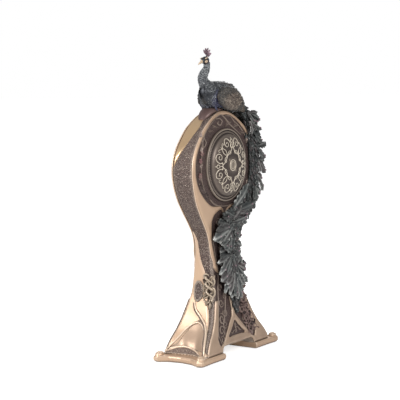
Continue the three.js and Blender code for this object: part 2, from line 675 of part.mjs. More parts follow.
// Hand stack: arbor, cannon tube and hour pipe, one inside the other
const cannon = { bore: 0.8, radius: 1.5 };
const pipe = { bore: 1.75, radius: 2.6 };
const handY = (level) => -plateFront - level;
const cannonPhase = 0;
const motionPhase = meshedPhase(cannonPhase, teeth.cannon, 0, teeth.motion);
const motionPinionPhase = 0;
const hourPhase = meshedPhase(motionPinionPhase, teeth.motionPinion, Math.PI, teeth.hour);
const secondPinionPhase = 0;
const intermediatePhase = meshedPhase(secondPinionPhase, teeth.secondPinion, Math.PI, teeth.intermediate);
const intermediatePinionPhase = 0;
const centrePhase = meshedPhase(intermediatePinionPhase, teeth.intermediatePinion, 0, teeth.centre);
const thirdPinionPhase = 0;
const secondPhase = meshedPhase(thirdPinionPhase, teeth.thirdPinion, -Math.PI / 2, teeth.second);
const rotorPhase = 0;
const thirdPhase = meshedPhase(rotorPhase, teeth.rotorPinion, rotorAngle + Math.PI, teeth.third);

const hourFront = handY(handLevels.hour) - hand.thickness;
const hourPipeEnd = wheelLevel(0) + wheelThickness;
const hourPipe = ringAlongY(pipe.bore, pipe.radius, hourFront, hourPipeEnd, ...centreAt);
const hourGear = gear(teeth.hour, hourModule, 0, centreAt, hourPhase, pipe.bore);
addPart("hour_wheel", hourGear.add(hourPipe), paint.brass);

const minuteFront = handY(handLevels.minute) - hand.thickness;
const cannonRear = wheelLevel(3) - runningGap;
const cannonTube = ringAlongY(cannon.bore, cannon.radius, minuteFront, cannonRear, ...centreAt);
const cannonGear = gear(teeth.cannon, cannonModule, 1, centreAt, cannonPhase, cannon.bore);
addPart("cannon_pinion", cannonTube.add(cannonGear), paint.brass);

const motionGears = [
  gear(teeth.motion, cannonModule, 1, motionAt, motionPhase),
  gear(teeth.motionPinion, hourModule, 0, motionAt, motionPinionPhase),
];
const knobFront = movementRear + knob.clearance;
const coreRod = (low, high, place) => (
  rodAlongY(arbor.core, wheelLevel(low), wheelLevel(high) + wheelThickness, ...place, pivotSides)
);
const motionArbor = arborRod(pivotFront, knobFront + knob.thickness / 2, motionAt);
addPart("motion_wheel", joined([...motionGears, coreRod(0, 1, motionAt), motionArbor]), paint.brass);

const knobHole = arbor.radius + seatGap;
const knobSocket = knobFront + knob.thickness / 2 + seatGap;
const knobProfile = [
  [0, knobSocket], [knobHole, knobSocket], [knobHole, knobFront], [knob.radius, knobFront],
  [knob.radius, knobFront + knob.thickness], [0, knobFront + knob.thickness],
];
addPart("setting_knob", turnedAlongY(knobProfile, ...motionAt, coarseSides), paint.plastic);

const centreBore = cannon.radius + runningGap;
const centreWheel = gear(teeth.centre, minuteDriveModule, 2, centreAt, centrePhase, centreBore);
addPart("centre_wheel", centreWheel, paint.brass);
addPart("intermediate_wheel", joined([
  gear(teeth.intermediate, intermediateModule, 3, intermediateAt, intermediatePhase),
  gear(teeth.intermediatePinion, minuteDriveModule, 2, intermediateAt, intermediatePinionPhase),
  coreRod(2, 3, intermediateAt),
  arborRod(pivotFront, pivotRear, intermediateAt),
]), paint.brass);

const secondFront = handY(handLevels.second) - hand.thickness;
addPart("second_wheel", joined([
  gear(teeth.second, thirdModule, 4, centreAt, secondPhase),
  gear(teeth.secondPinion, intermediateModule, 3, centreAt, secondPinionPhase),
  coreRod(3, 4, centreAt),
  arborRod(secondFront, pivotRear, centreAt),
]), paint.brass);

addPart("third_wheel", joined([
  gear(teeth.third, rotorModule, 5, thirdAt, thirdPhase),
  gear(teeth.thirdPinion, thirdModule, 4, thirdAt, thirdPinionPhase),
  coreRod(4, 5, thirdAt),
  arborRod(pivotFront, pivotRear, thirdAt),
]), paint.brass);

const magnetFront = wheelLevel(5) + wheelThickness + runningGap * 2;
addPart("rotor", joined([
  gear(teeth.rotorPinion, rotorModule, 5, rotorAt, rotorPhase),
  rodAlongY(magnet.radius, magnetFront, magnetFront + magnet.length, ...rotorAt, coarseSides),
  arborRod(pivotFront, pivotRear, rotorAt),
]), paint.steel);

// Hands: a tapered blade with a tail and a round hub
function makeHand({ length, tail, halfWidth, hub }, holeRadius, front) {
  const root = halfWidth * hand.rootShare;
  const belly = length * hand.bellyShare;
  const outline = [
    [-root, -tail], [root, -tail], [root, 0], [halfWidth, belly],
    [0, length], [-halfWidth, belly], [-root, 0],
  ];
  const back = front + hand.thickness;
  const blade = prismAlongY(outline, front, back).translate([0, 0, dialHeight]);
  const blank = blade.add(rodAlongY(hub, front, back, ...centreAt));
  return blank.subtract(rodAlongY(holeRadius, front - overrun, back + overrun, ...centreAt));
}
addPart("hour_hand", makeHand(hourHandSize, pipe.radius + seatGap, hourFront), paint.plastic);
addPart("minute_hand", makeHand(minuteHandSize, cannon.radius + seatGap, minuteFront), paint.plastic);
addPart("second_hand", makeHand(secondHandSize, arbor.radius + seatGap, secondFront), paint.steel);

// Movement housing: front shell with the threaded bush and the battery bay, and the rear plate
const batteryZ = movementLow + movement.wall + battery.gap + battery.radius;
const batteryY = innerFront + battery.gap + battery.radius;
const bayTop = batteryZ + battery.radius + battery.gap;
const pivotHole = arbor.radius + arbor.pivotClearance;
const arborPlaces = [motionAt, intermediateAt, thirdAt, rotorAt];
function makeMovementCase() {
  const w = movementHalfWidth;
  let shell = box(-w, w, movementFront, movementRear, movementLow, movementTop);
  const inner = [movementLow + movement.wall, movementTop - movement.wall];
  shell = shell.subtract(box(-innerWidth, innerWidth, innerFront, movementRear + overrun, ...inner));
  shell = shell.add(box(-innerWidth, innerWidth, innerFront, innerRear, bayTop, bayTop + movement.wall));
  shell = shell.add(rodAlongY(bush.radius, movementFront - bush.length, innerFront, ...centreAt));
  const bushFront = movementFront - bush.length - overrun;
  shell = shell.subtract(rodAlongY(bush.bore, bushFront, innerFront + seatGap, ...centreAt));
  const holeFront = movementFront - overrun;
  arborPlaces.forEach((place) => {
    shell = shell.subtract(rodAlongY(pivotHole, holeFront, innerFront + seatGap, ...place, pivotSides));
  });
  return shell;
}
addPart("movement_case", makeMovementCase(), paint.plastic);

// Electric side of the movement
const post = { radius: 1.1, inset: 1.7 };
const board = { low: 1.5, high: 14.5, near: 9, thickness: 1, drop: 0.3 };
const boardFront = magnetFront + board.drop;
const boardWest = -innerWidth + fitGap;
const stator = { thickness: 1.4, low: 5.2, high: 5.2, near: 8, far: 4.9, holeGap: 0.4, core: 1.4 };
const statorFront = magnetFront + magnet.length / 2 - stator.thickness / 2;
const coil = { radius: 2.2, winding: 1.98, bore: 1.15, flange: 1, endRoom: 2.1 };
const coilY = statorFront + stator.thickness / 2;
const coilEast = -stator.near - fitGap;
const coilLength = innerWidth + coilEast - stator.core - coil.endRoom;
const boardBox = [boardWest, -board.near, boardFront, boardFront + board.thickness];
addPart("circuit_board", box(...boardBox, dialHeight + board.low, dialHeight + board.high), paint.green);

const statorPlate = box(
  -stator.near, rotorAt[0] + stator.far, statorFront, statorFront + stator.thickness,
  rotorAt[1] - stator.low, rotorAt[1] + stator.high,
);
const statorHole = rodAlongY(
  magnet.radius + stator.holeGap, statorFront - overrun, statorFront + stator.thickness + overrun, ...rotorAt,
);
const coreWest = coilEast - coilLength - stator.core;
const statorCore = box(
  coreWest, -stator.near + seatGap, coilY - stator.core / 2, coilY + stator.core / 2,
  rotorAt[1] - stator.core / 2, rotorAt[1] + stator.core / 2,
);
addPart("stator", statorPlate.add(statorCore).subtract(statorHole), paint.steel);

const coilProfile = [
  [coil.bore, 0], [coil.radius, 0], [coil.radius, coil.flange], [coil.winding, coil.flange],
  [coil.winding, coilLength - coil.flange], [coil.radius, coilLength - coil.flange],
  [coil.radius, coilLength], [coil.bore, coilLength], [coil.bore, 0],
].map(([r, y]) => new THREE.Vector2(r, y));
const coilGeometry = new THREE.LatheGeometry(coilProfile, pivotSides);
coilGeometry.rotateZ(Math.PI / 2);
coilGeometry.translate(coilEast, coilY, rotorAt[1]);
addPart("coil", solidOf(coilGeometry), paint.copper);

function makeMovementCover() {
  const w = innerWidth - seatGap;
  const z0 = bayTop + movement.wall + seatGap;
  const z1 = movementTop - movement.wall - seatGap;
  let plate = box(-w, w, innerRear, movementRear, z0, z1);
  const boardBack = boardFront + board.thickness + seatGap;
  const boardPosts = [
    [boardWest + post.inset, dialHeight + board.low + post.inset],
    [-board.near - post.inset, dialHeight + board.high - post.inset],
  ];
  boardPosts.forEach((place) => {
    plate = plate.add(rodAlongY(post.radius, boardBack, innerRear + seatGap, ...place, pivotSides));
  });
  const statorBack = statorFront + stator.thickness + seatGap;
  const statorPost = [-stator.near + post.inset, rotorAt[1] + stator.high - post.inset];
  plate = plate.add(rodAlongY(post.radius, statorBack, innerRear + seatGap, ...statorPost, pivotSides));
  [...arborPlaces, centreAt].forEach((place) => {
    const hole = rodAlongY(pivotHole, innerRear - seatGap, movementRear + overrun, ...place, pivotSides);
    plate = plate.subtract(hole);
  });
  return plate;
}
addPart("movement_cover", makeMovementCover(), paint.plastic);

// Battery and its two contacts
function rodAlongX(radius, x0, x1, y, z, sides, farRadius = radius) {
  const rod = new THREE.CylinderGeometry(farRadius, radius, x1 - x0, sides);
  rod.rotateZ(-Math.PI / 2);
  rod.translate((x0 + x1) / 2, y, z);
  return solidOf(rod);
}
const cellHalf = battery.length / 2;
const canEnd = cellHalf - battery.nub;
const cell = rodAlongX(battery.radius, -cellHalf, canEnd, batteryY, batteryZ, coarseSides);
const nub = rodAlongX(battery.nubRadius, canEnd - seatGap, cellHalf, batteryY, batteryZ, pivotSides);
addPart("battery", cell.add(nub), paint.steel);
const plateOut = innerWidth - seatGap;
const plateIn = plateOut - contact.thickness;
const contactY = [batteryY - contact.halfWidth, batteryY + contact.halfWidth];
const contactZ = [batteryZ - contact.halfHeight, batteryZ + contact.halfHeight];
const touch = cellHalf + runningGap;
const bump = rodAlongX(battery.nubRadius, touch, plateIn + seatGap, batteryY, batteryZ, pivotSides);
addPart("battery_contact_positive", box(plateIn, plateOut, ...contactY, ...contactZ).add(bump), paint.brass);
const cone = rodAlongX(
  contact.coneFoot, -plateIn - seatGap, -touch, batteryY, batteryZ, pivotSides, contact.coneTip,
);
const negativePlate = box(-plateOut, -plateIn, ...contactY, ...contactZ);
addPart("battery_contact_negative", negativePlate.add(cone), paint.steel);

// Rear cover: a domed disc with a beaded ring and a spigot in the bore, and its scroll rosette
const coverDomeRadius = boreRadius + cover.flange;
const coverDomeShares = [0, 0.35, 0.6, 0.8, 1];
const coverHollowShare = 0.9;
const domeAt = (t) => cover.rise * (1 - t ** 4);
const spigotRadius = boreRadius - fitGap;
const hollowRadius = spigotRadius - cover.spigotWall;
const coverProfile = [
  ...coverDomeShares.map((t) => [t * hollowRadius, faceY + domeAt(t) * coverHollowShare]),
  [hollowRadius, faceY - cover.spigot],
  [spigotRadius, faceY - cover.spigot],
  [spigotRadius, seatY],
  [coverRadius, seatY],
  [coverRadius, faceY + cover.bead],
  [coverRadius - cover.bead, faceY + cover.flange],
  [coverDomeRadius + cover.bead / 2, faceY + cover.bead],
  ...[...coverDomeShares].reverse().map((t) => [t * coverDomeRadius, faceY + cover.wall + domeAt(t)]),
];
addPart("rear_cover", turnedAlongY(coverProfile, 0, dialHeight), paint.bronze);

const scrollLine = 1.5;
const rosetteLobes = 8;
const rosetteShares = { boss: 0.18, inner: 0.53, lobeAt: 0.62, lobe: 0.17 };
function domeForm(lift) {
  const steps = [...coverDomeShares].reverse();
  const back = faceY + cover.wall;
  const profile = steps.map((t) => [t * coverDomeRadius, back + domeAt(t) + lift]);
  return turnedAlongY([[0, faceY], [coverDomeRadius, faceY], ...profile], 0, dialHeight);
}
function makeRosette() {
  const y0 = faceY;
  const y1 = faceY + cover.rise + cover.wall + cover.flange + overrun;
  const [boss, inner, lobeAt, lobe] = ["boss", "inner", "lobeAt", "lobe"].map((key) => (
    rosetteShares[key] * coverDomeRadius
  ));
  const pieces = [rodAlongY(boss, y0, y1, ...centreAt)];
  for (let i = 0; i < rosetteLobes; i++) {
    const angle = (i / rosetteLobes) * 2 * Math.PI;
    const lobeAngle = angle + Math.PI / rosetteLobes;
    const x = lobeAt * Math.cos(lobeAngle);
    const z = dialHeight + lobeAt * Math.sin(lobeAngle);
    pieces.push(ringAlongY(lobe - scrollLine, lobe, y0, y1, x, z, pivotSides));
    if (i % 2) continue;
    const bar = new THREE.BoxGeometry(inner, y1 - y0, scrollLine);
    bar.translate(inner / 2, (y0 + y1) / 2, 0);
    bar.rotateY(-angle);
    bar.translate(0, 0, dialHeight);
    pieces.push(solidOf(bar));
  }
  pieces.push(ringAlongY(inner - scrollLine, inner, y0, y1, ...centreAt));
  return joined(pieces).intersect(domeForm(cover.scroll + fitGap)).subtract(domeForm(fitGap));
}
addPart("cover_rosette", makeRosette(), paint.bronze);

// Peacock: places are shares of the bird's height, from the top of the case under its breast
const birdHeight = 80;
const birdSetBackShare = 0.15;
const birdSinkShare = 0.034;
const birdLift = frameThickness + fitGap - birdSinkShare * birdHeight;
const birdAlong = (x) => (x - birdSetBackShare) * birdHeight;
const birdPoint = ([x, y, z]) => (
  new THREE.Vector3(birdAlong(x), y * birdHeight, bodyHeight + birdLift + z * birdHeight)
);

// Rings of flat oval section across a path: each station has its place, its half height across the path
// in the upright plane, and its half thickness along Y
function ovalLoft(stations, sides, tilt = 0) {
  const rings = stations.map((station, i) => {
    const before = stations[Math.max(0, i - 1)].at;
    const after = stations[Math.min(stations.length - 1, i + 1)].at;
    const along = after.clone().sub(before).normalize();
    const thick = new THREE.Vector3(0, 1, 0).addScaledVector(along, -along.y).normalize();
    const across = new THREE.Vector3().crossVectors(along, thick).normalize();
    thick.applyAxisAngle(along, tilt);
    across.applyAxisAngle(along, tilt);
    return Array.from({ length: sides }, (_, k) => {
      const turn = ((k + 0.5) / sides) * 2 * Math.PI;
      const point = station.at.clone().addScaledVector(across, station.high * Math.cos(turn));
      return point.addScaledVector(thick, station.deep * Math.sin(turn));
    });
  });
  return loft(rings);
}
const birdLoft = (shares, sides) => ovalLoft(shares.map(([x, y, z, high, deep]) => (
  { at: birdPoint([x, y, z]), high: high * birdHeight, deep: deep * birdHeight }
)), sides);

// Each row of the bird's tables: x, y, z, half height, half thickness
const bodyShares = [
  [0.53, 0, 0.33, 0.03, 0.03], [0.47, 0, 0.32, 0.13, 0.1], [0.32, 0, 0.27, 0.215, 0.16],
  [0.12, 0, 0.245, 0.235, 0.185], [-0.08, 0, 0.23, 0.23, 0.185], [-0.26, 0, 0.18, 0.195, 0.16],
  [-0.4, 0, 0.11, 0.15, 0.13], [-0.52, 0, 0.03, 0.09, 0.1],
];
const neckShares = [
  [0.34, 0, 0.36, 0.13, 0.12], [0.42, 0, 0.42, 0.105, 0.1], [0.49, 0, 0.49, 0.083, 0.078],
  [0.505, 0, 0.555, 0.076, 0.07], [0.47, 0, 0.615, 0.07, 0.064], [0.415, 0, 0.67, 0.06, 0.055],
  [0.383, 0, 0.73, 0.045, 0.045], [0.385, 0, 0.78, 0.045, 0.045],
];
const headShares = [
  [0.355, 0, 0.845, 0.02, 0.02], [0.375, 0, 0.838, 0.05, 0.045], [0.43, 0, 0.832, 0.065, 0.053],
  [0.49, 0, 0.82, 0.055, 0.043], [0.54, 0, 0.802, 0.028, 0.022], [0.6, 0, 0.775, 0.014, 0.012],
  [0.637, 0, 0.755, 0.004, 0.004],
];
const wingShares = [
  [0.33, 0.16, 0.24, 0.03, 0.02], [0.27, 0.2, 0.235, 0.12, 0.04], [0.12, 0.225, 0.215, 0.175, 0.045],
  [-0.1, 0.225, 0.18, 0.16, 0.045], [-0.28, 0.2, 0.11, 0.11, 0.04], [-0.44, 0.165, 0.03, 0.06, 0.03],
  [-0.54, 0.14, -0.03, 0.02, 0.015],
];
const bodySides = 12;
const neckSides = 10;
const smallSides = 8;
const birdBody = birdLoft(bodyShares, bodySides);
const birdNeck = birdLoft(neckShares, neckSides);
const birdHead = birdLoft(headShares, smallSides);
const frameClear = caseForm(frameThickness + fitGap);
const gapShare = fitGap / birdHeight;
const grownRow = ([x, y, z, high, deep]) => [x, y, z, high + gapShare, deep + gapShare];
const neckGrown = birdLoft(neckShares.map(grownRow), neckSides);
const bodyGrown = birdLoft(bodyShares.map(grownRow), bodySides).add(neckGrown);
addPart("peacock_body", joined([birdBody, birdNeck, birdHead]).subtract(frameClear), paint.bird);
const wingRight = birdLoft(wingShares, smallSides).subtract(bodyGrown).subtract(frameClear);
const wingGrown = birdLoft(wingShares.map(grownRow), smallSides);
addPart("wing_rear", wingRight, paint.wing);
addPart("wing_front", mirrored(wingRight, "y"), paint.wing);

// Crest: five stems in a fan, each with a fan-shaped tip
const crest = { stems: 5, spread: 1.5, lean: 0.62 };
const crestFootShares = [0.39, 0.885];
const crestShares = { length: 0.15, stem: 0.006, tip: 0.024, thick: 0.008 };
const crestTaperShares = [[-0.25, 0], [0.5, 0], [0.72, 1], [0.95, 1], [1, 0]];
function makeCrest() {
  const { length, stem, tip, thick } = crestShares;
  const [footX, footZ] = crestFootShares;
  const solids = [];
  for (let i = 0; i < crest.stems; i++) {
    const angle = crest.lean + crest.spread * (i / (crest.stems - 1) - 0.5);
    const rows = crestTaperShares.map(([t, open]) => [
      footX - Math.sin(angle) * t * length, 0, footZ + Math.cos(angle) * t * length, open ? tip : stem, thick,
    ]);
    solids.push(birdLoft(rows, 4));
  }
  return joined(solids).subtract(birdHead);
}
addPart("peacock_crest", makeCrest().translate([0, 0, seatGap]), paint.crest);

// Height of the case's top at a place along X
const topSteps = 20;
function caseTopAt(x) {
  let low = dialHeight;
  let high = bodyHeight;
  for (let i = 0; i < topSteps; i++) {
    const middle = (low + high) / 2;
    if (caseHalfWidth(middle) > Math.abs(x)) low = middle;
    else high = middle;
  }
  return low;
}

// Perch: a knotted branch over the top of the case, under the breast. Rows: x, lift over the case's top,
// half height, half thickness
const perchShares = [
  [0.56, -0.01, 0.03, 0.05], [0.49, 0.018, 0.06, 0.1], [0.38, 0.043, 0.065, 0.13],
  [0.22, 0.025, 0.05, 0.14], [0.1, 0.03, 0.04, 0.12],
];
const perchStations = perchShares.map(([x, lift, high, deep]) => {
  const along = birdAlong(x);
  const at = new THREE.Vector3(along, 0, caseTopAt(along) + birdLift + lift * birdHeight);
  return { at, high: high * birdHeight, deep: deep * birdHeight };
});
const perch = ovalLoft(perchStations, smallSides).subtract(bodyGrown).subtract(frameClear);
addPart("perch_branch", perch, paint.bird);

// Train: a core of oval section from the rump, over the shoulder, down the rear edge and across the waist.
// Rows: x as a share of the case's half width there, height as a share of the body height,
// half width and half thickness as shares of the head's half depth, and the lift off the face
const trainShares = [
  [-1.43, 1.035, 0.5, 0.62, -0.8], [-1.48, 1.012, 0.6, 0.8, -0.68], [-1.77, 0.975, 0.62, 0.85, -0.45],
  [-1.26, 0.932, 0.7, 0.7, -0.15], [-1.04, 0.885, 0.85, 0.42, 0.1],
  [-0.9, 0.83, 0.85, 0.34, 0.12], [-0.86, 0.77, 0.8, 0.3, 0.12],
  [-0.86, 0.71, 0.85, 0.3, 0.14], [-0.88, 0.66, 1, 0.36, 0.16], [-0.82, 0.615, 1.15, 0.42, 0.2],
  [-0.58, 0.57, 1.2, 0.46, 0.22], [-0.36, 0.52, 1.15, 0.46, 0.22], [-0.22, 0.47, 1.1, 0.46, 0.22],
  [-0.14, 0.42, 1, 0.46, 0.22], [-0.15, 0.37, 1, 0.44, 0.2], [-0.15, 0.32, 1.05, 0.4, 0.2],
  [-0.28, 0.27, 0.9, 0.34, 0.18], [-0.15, 0.225, 0.55, 0.24, 0.14], [-0.15, 0.19, 0.12, 0.1, 0.1],
];
const trainTopShare = 0.42;
const trainSides = 8;
const trainStations = trainShares.map(([wide, high, half, deep, lift]) => {
  const z = high * bodyHeight;
  const y = caseHalfDepth(z) + lift * headHalfDepth;
  const x = wide * Math.max(caseHalfWidth(z), headHalfWidth * trainTopShare);
  return { at: new THREE.Vector3(x, y, z), high: half * headHalfDepth, deep: deep * headHalfDepth };
});

// Feather fans: root and tip as shares like the train's, then the half width as a share of the half depth
const featherShares = [
  [-1.5, 0.99, -1.6, 0.948, 0.34], [-1.3, 0.95, -1.25, 0.895, 0.36], [-1.04, 0.9, -1.13, 0.865, 0.36],
  [-0.92, 0.85, -1.19, 0.803, 0.4], [-0.88, 0.79, -1.17, 0.735, 0.4], [-0.86, 0.73, -1.14, 0.65, 0.42],
  [-0.84, 0.68, -1.14, 0.61, 0.46], [-0.72, 0.62, -0.95, 0.562, 0.46], [-0.5, 0.55, -0.72, 0.48, 0.42],
  [-0.3, 0.46, -0.66, 0.37, 0.42], [-0.78, 0.65, -0.1, 0.585, 0.75], [-0.62, 0.59, 0.2, 0.535, 0.9],
  [-0.5, 0.53, 0.75, 0.515, 0.7], [-0.5, 0.49, 0.45, 0.43, 0.85], [-0.3, 0.36, -0.95, 0.29, 0.42],
  [-0.3, 0.42, 0.55, 0.345, 0.75], [-0.25, 0.36, 0.4, 0.3, 0.6], [-0.25, 0.33, -0.1, 0.21, 0.6],
  [0, 0.31, 0.38, 0.24, 0.35],
];
const featherStepShares = [[0, 0.4, 0.5], [0.35, 0.6, 0.9], [0.7, 1, 1], [0.9, 0.8, 0.7], [1, 0.2, 0.3]];
const featherThickShare = 0.13;
const featherSides = 6;
const featherLiftShare = 0.3;
const featherArchShare = 0.12;
function feather([x0, z0, x1, z1, wide], grow) {
  const place = (t) => {
    const z = (z0 + (z1 - z0) * t) * bodyHeight;
    const x = (x0 + (x1 - x0) * t) * Math.max(caseHalfWidth(z), headHalfWidth * trainTopShare);
    const lift = featherLiftShare + featherArchShare * Math.sin(t * Math.PI);
    return new THREE.Vector3(x, caseHalfDepth(z) + headHalfDepth * lift, z);
  };
  const wing = wide * headHalfDepth;
  const thick = featherThickShare * headHalfDepth;
  const stations = featherStepShares.map(([t, w, d]) => (
    { at: place(t), high: w * wing + grow, deep: d * thick + grow }
  ));
  return ovalLoft(stations, featherSides);
}
const trainNames = ["train_shoulder", "train_edge", "train_sweep", "train_fall"];
const trainCuts = [4, 8, 13, trainStations.length - 1];
const featherCuts = [2, 6, 14, featherShares.length];
const vineClear = vineStem(0, fitGap).add(vineStem(Math.PI, fitGap));
const birdClear = [bodyGrown, wingGrown, mirrored(wingGrown, "y")];
const trainClear = [frameClear, clearBoss, vineClear, ...birdClear];
const coverClear = rodAlongY(coverRadius + fitGap, 0, toeDepth + boreRadius, 0, dialHeight, fineSides);
// One casting of the train, grown by a little where the next one has to stay clear of it
function trainCasting(i, grow) {
  const stations = trainStations.slice(i ? trainCuts[i - 1] : 0, trainCuts[i] + 1);
  const grown = stations.map(({ at, high, deep }) => ({ at, high: high + grow, deep: deep + grow }));
  const core = ovalLoft(grown, trainSides);
  const fans = featherShares.slice(i ? featherCuts[i - 1] : 0, featherCuts[i]);
  return joined([core, ...fans.map((fan) => feather(fan, grow))]);
}
let laid = joined([coverClear, ...trainClear]);
trainNames.forEach((name, i) => {
  addPart(name, mainBody(trainCasting(i, 0).subtract(laid)), paint.train);
  laid = laid.add(trainCasting(i, fitGap));
});

export default root;
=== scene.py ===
import math
import random

import bpy
from mathutils import Matrix, Vector
from mathutils.kdtree import KDTree


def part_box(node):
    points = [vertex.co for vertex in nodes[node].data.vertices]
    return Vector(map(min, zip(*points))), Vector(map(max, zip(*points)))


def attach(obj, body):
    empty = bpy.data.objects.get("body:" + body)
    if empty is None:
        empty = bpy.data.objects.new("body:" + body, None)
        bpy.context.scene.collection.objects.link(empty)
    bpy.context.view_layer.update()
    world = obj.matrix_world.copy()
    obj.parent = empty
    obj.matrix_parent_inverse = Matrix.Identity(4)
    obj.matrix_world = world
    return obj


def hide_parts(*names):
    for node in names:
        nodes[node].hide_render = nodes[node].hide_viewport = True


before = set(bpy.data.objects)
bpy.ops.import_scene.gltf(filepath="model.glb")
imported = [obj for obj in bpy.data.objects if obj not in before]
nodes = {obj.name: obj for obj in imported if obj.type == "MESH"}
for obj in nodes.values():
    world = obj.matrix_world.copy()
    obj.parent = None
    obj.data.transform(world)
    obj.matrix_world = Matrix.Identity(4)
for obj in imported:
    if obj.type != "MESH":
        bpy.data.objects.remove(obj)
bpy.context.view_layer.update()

bl_info = {
    "name": "Peacock Clock",
    "version": (1, 0, 0),
    "blender": (4, 5, 0),
    "location": "3D View > Sidebar > Clock",
    "description": "Dresses the frame of a figural mantel clock",
    "category": "Object",
}

MM = 0.001


def size_of(node):
    low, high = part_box(node)
    return low / MM, high / MM


# Driving sizes in millimetres, those of the case and the cover read from the frame
case_low, case_high = size_of("case_body")
BODY_HEIGHT = case_high.z
HEAD_HALF_WIDTH = 78
HEAD_HALF_DEPTH = 15.6
CORNER_RADIUS = 3.4
RIM_HEIGHT = case_low.z
BIRD_HEIGHT = 80
BIRD_SET_BACK = 12
CREST_LEAN, CREST_SPREAD = 0.45, 1.8
cover_low, cover_high = size_of("rear_cover")
COVER_RADIUS = cover_high.x
DIAL_HEIGHT = (cover_low.z + cover_high.z) / 2
BORE_RADIUS = 42
DOME_RADIUS = BORE_RADIUS + 2.6
DOME_FOOT, DOME_RISE = 2.2, 8.8
FACE_Y = HEAD_HALF_DEPTH
FIT_GAP = 0.3
# Sign and name of the flanks and of the faces
SIDES = ((1, "right"), (-1, "left"))
FACES = ((1, "rear"), (-1, "front"))

# Height as a share of the body height, then half width as a share of the head's half width
WIDTH_SHARES = [
    (0, 1.08), (0.044, 0.97), (0.078, 0.883), (0.122, 0.728), (0.168, 0.606), (0.216, 0.519),
    (0.265, 0.452), (0.317, 0.436), (0.368, 0.43), (0.42, 0.434), (0.471, 0.456), (0.51, 0.51),
    (0.547, 0.606), (0.601, 0.76), (0.654, 0.89), (0.705, 0.96), (0.756, 0.998), (0.805, 0.98),
    (0.853, 0.9), (0.901, 0.75), (0.93, 0.635), (0.949, 0.54), (0.97, 0.405), (0.986, 0.27), (1, 0.12),
]
# Height as a share of the body height, then half depth as a share of the head's half depth
DEPTH_SHARES = [
    (0, 2.2), (0.05, 2.03), (0.078, 1.93), (0.122, 1.75), (0.168, 1.57), (0.216, 1.36), (0.265, 1.18),
    (0.317, 1.05), (0.368, 0.95), (0.42, 0.84), (0.475, 0.76), (0.547, 0.78), (0.601, 0.84),
    (0.654, 0.91), (0.705, 0.98), (0.78, 1), (0.853, 0.96), (0.901, 0.925), (0.949, 0.87), (1, 0.76),
]
SIDE_DENT_SHARES = [
    (0, 0.1), (0.03, 0.09), (0.081, 0.06), (0.16, 0.02), (0.203, 0), (1, 0),
]


# Small tools for shapes
def smooth_read(table, t):
    """Reads a table at t along a smooth curve through its rows."""
    last = len(table) - 1
    if t <= table[0][0]:
        return table[0][1]
    if t >= table[last][0]:
        return table[last][1]
    i = max(k for k in range(last) if table[k][0] <= t)

    def slope(k):
        a, b = table[max(0, k - 1)], table[min(last, k + 1)]
        return (b[1] - a[1]) / (b[0] - a[0])

    (t0, v0), (t1, v1) = table[i], table[i + 1]
    span = t1 - t0
    s = (t - t0) / span
    start = (2 * s ** 3 - 3 * s ** 2 + 1) * v0 + (s ** 3 - 2 * s ** 2 + s) * span * slope(i)
    return start + (3 * s ** 2 - 2 * s ** 3) * v1 + (s ** 3 - s ** 2) * span * slope(i + 1)


def case_half_width(z):
    return HEAD_HALF_WIDTH * smooth_read(WIDTH_SHARES, z / BODY_HEIGHT)


def case_half_depth(z):
    return HEAD_HALF_DEPTH * smooth_read(DEPTH_SHARES, z / BODY_HEIGHT)


def side_surface(y, z):
    """Distance of the side from the middle plane, at a depth and a height."""
    dent = HEAD_HALF_WIDTH * smooth_read(SIDE_DENT_SHARES, z / BODY_HEIGHT)
    flat = case_half_depth(z) - CORNER_RADIUS
    s = min(1, abs(y) / flat)
    over = max(0, abs(y) - flat)
    drop = CORNER_RADIUS - math.sqrt(max(0, CORNER_RADIUS ** 2 - min(over, CORNER_RADIUS) ** 2))
    return case_half_width(z) - dent * (1 - s * s) - drop


def smooth_path(points, steps, closed=False):
    """Points along a smooth curve through the given ones."""
    count = len(points)
    rows = [Vector(p) for p in points]
    path = []
    for i in range(count if closed else count - 1):
        before = rows[(i - 1) % count] if closed or i > 0 else rows[i]
        after = rows[(i + 2) % count] if closed or i + 2 < count else rows[(i + 1) % count]
        a, b = rows[i], rows[(i + 1) % count]
        for k in range(steps):
            t = k / steps
            path.append(0.5 * (
                2 * a + (b - before) * t + (2 * before - 5 * a + 4 * b - after) * t * t
                + (3 * a - before - 3 * b + after) * t ** 3
            ))
    if not closed:
        path.append(rows[-1])
    return path


def on_face(shares):
    """Points of x and z on a face, from shares of the half width there and of the height."""
    return [(wide * case_half_width(high * BODY_HEIGHT), high * BODY_HEIGHT) for wide, high in shares]


def on_flank(shares):
    """Points of y and z on a flank, from shares of the half depth there and of the height."""
    return [(deep * case_half_depth(high * BODY_HEIGHT), high * BODY_HEIGHT) for deep, high in shares]


def flipped(points):
    return [(-a, b) for a, b in reversed(points)]


# Small tools for meshes
FACES_OUT = (bpy.ops.mesh.normals_make_consistent, {"inside": False})
MERGE_REACH = 0.01 * MM
REAR = Vector((0, 1, 0))


def only(obj):
    bpy.ops.object.select_all(action="DESELECT")
    obj.select_set(True)
    bpy.context.view_layer.objects.active = obj


def edit(obj, *steps):
    """Runs edit-mode operators on the whole of one mesh."""
    only(obj)
    bpy.ops.object.mode_set(mode="EDIT")
    bpy.ops.mesh.select_all(action="SELECT")
    for operator, settings in steps:
        operator(**settings)
    bpy.ops.object.mode_set(mode="OBJECT")


def weld(obj, distance=MERGE_REACH):
    edit(obj, (bpy.ops.mesh.remove_doubles, {"threshold": distance}), FACES_OUT)


def close_ends(obj, distance=MERGE_REACH / 2):
    edit(
        obj,
        (bpy.ops.mesh.remove_doubles, {"threshold": distance}),
        (bpy.ops.mesh.fill_holes, {"sides": 0}),
        FACES_OUT,
    )


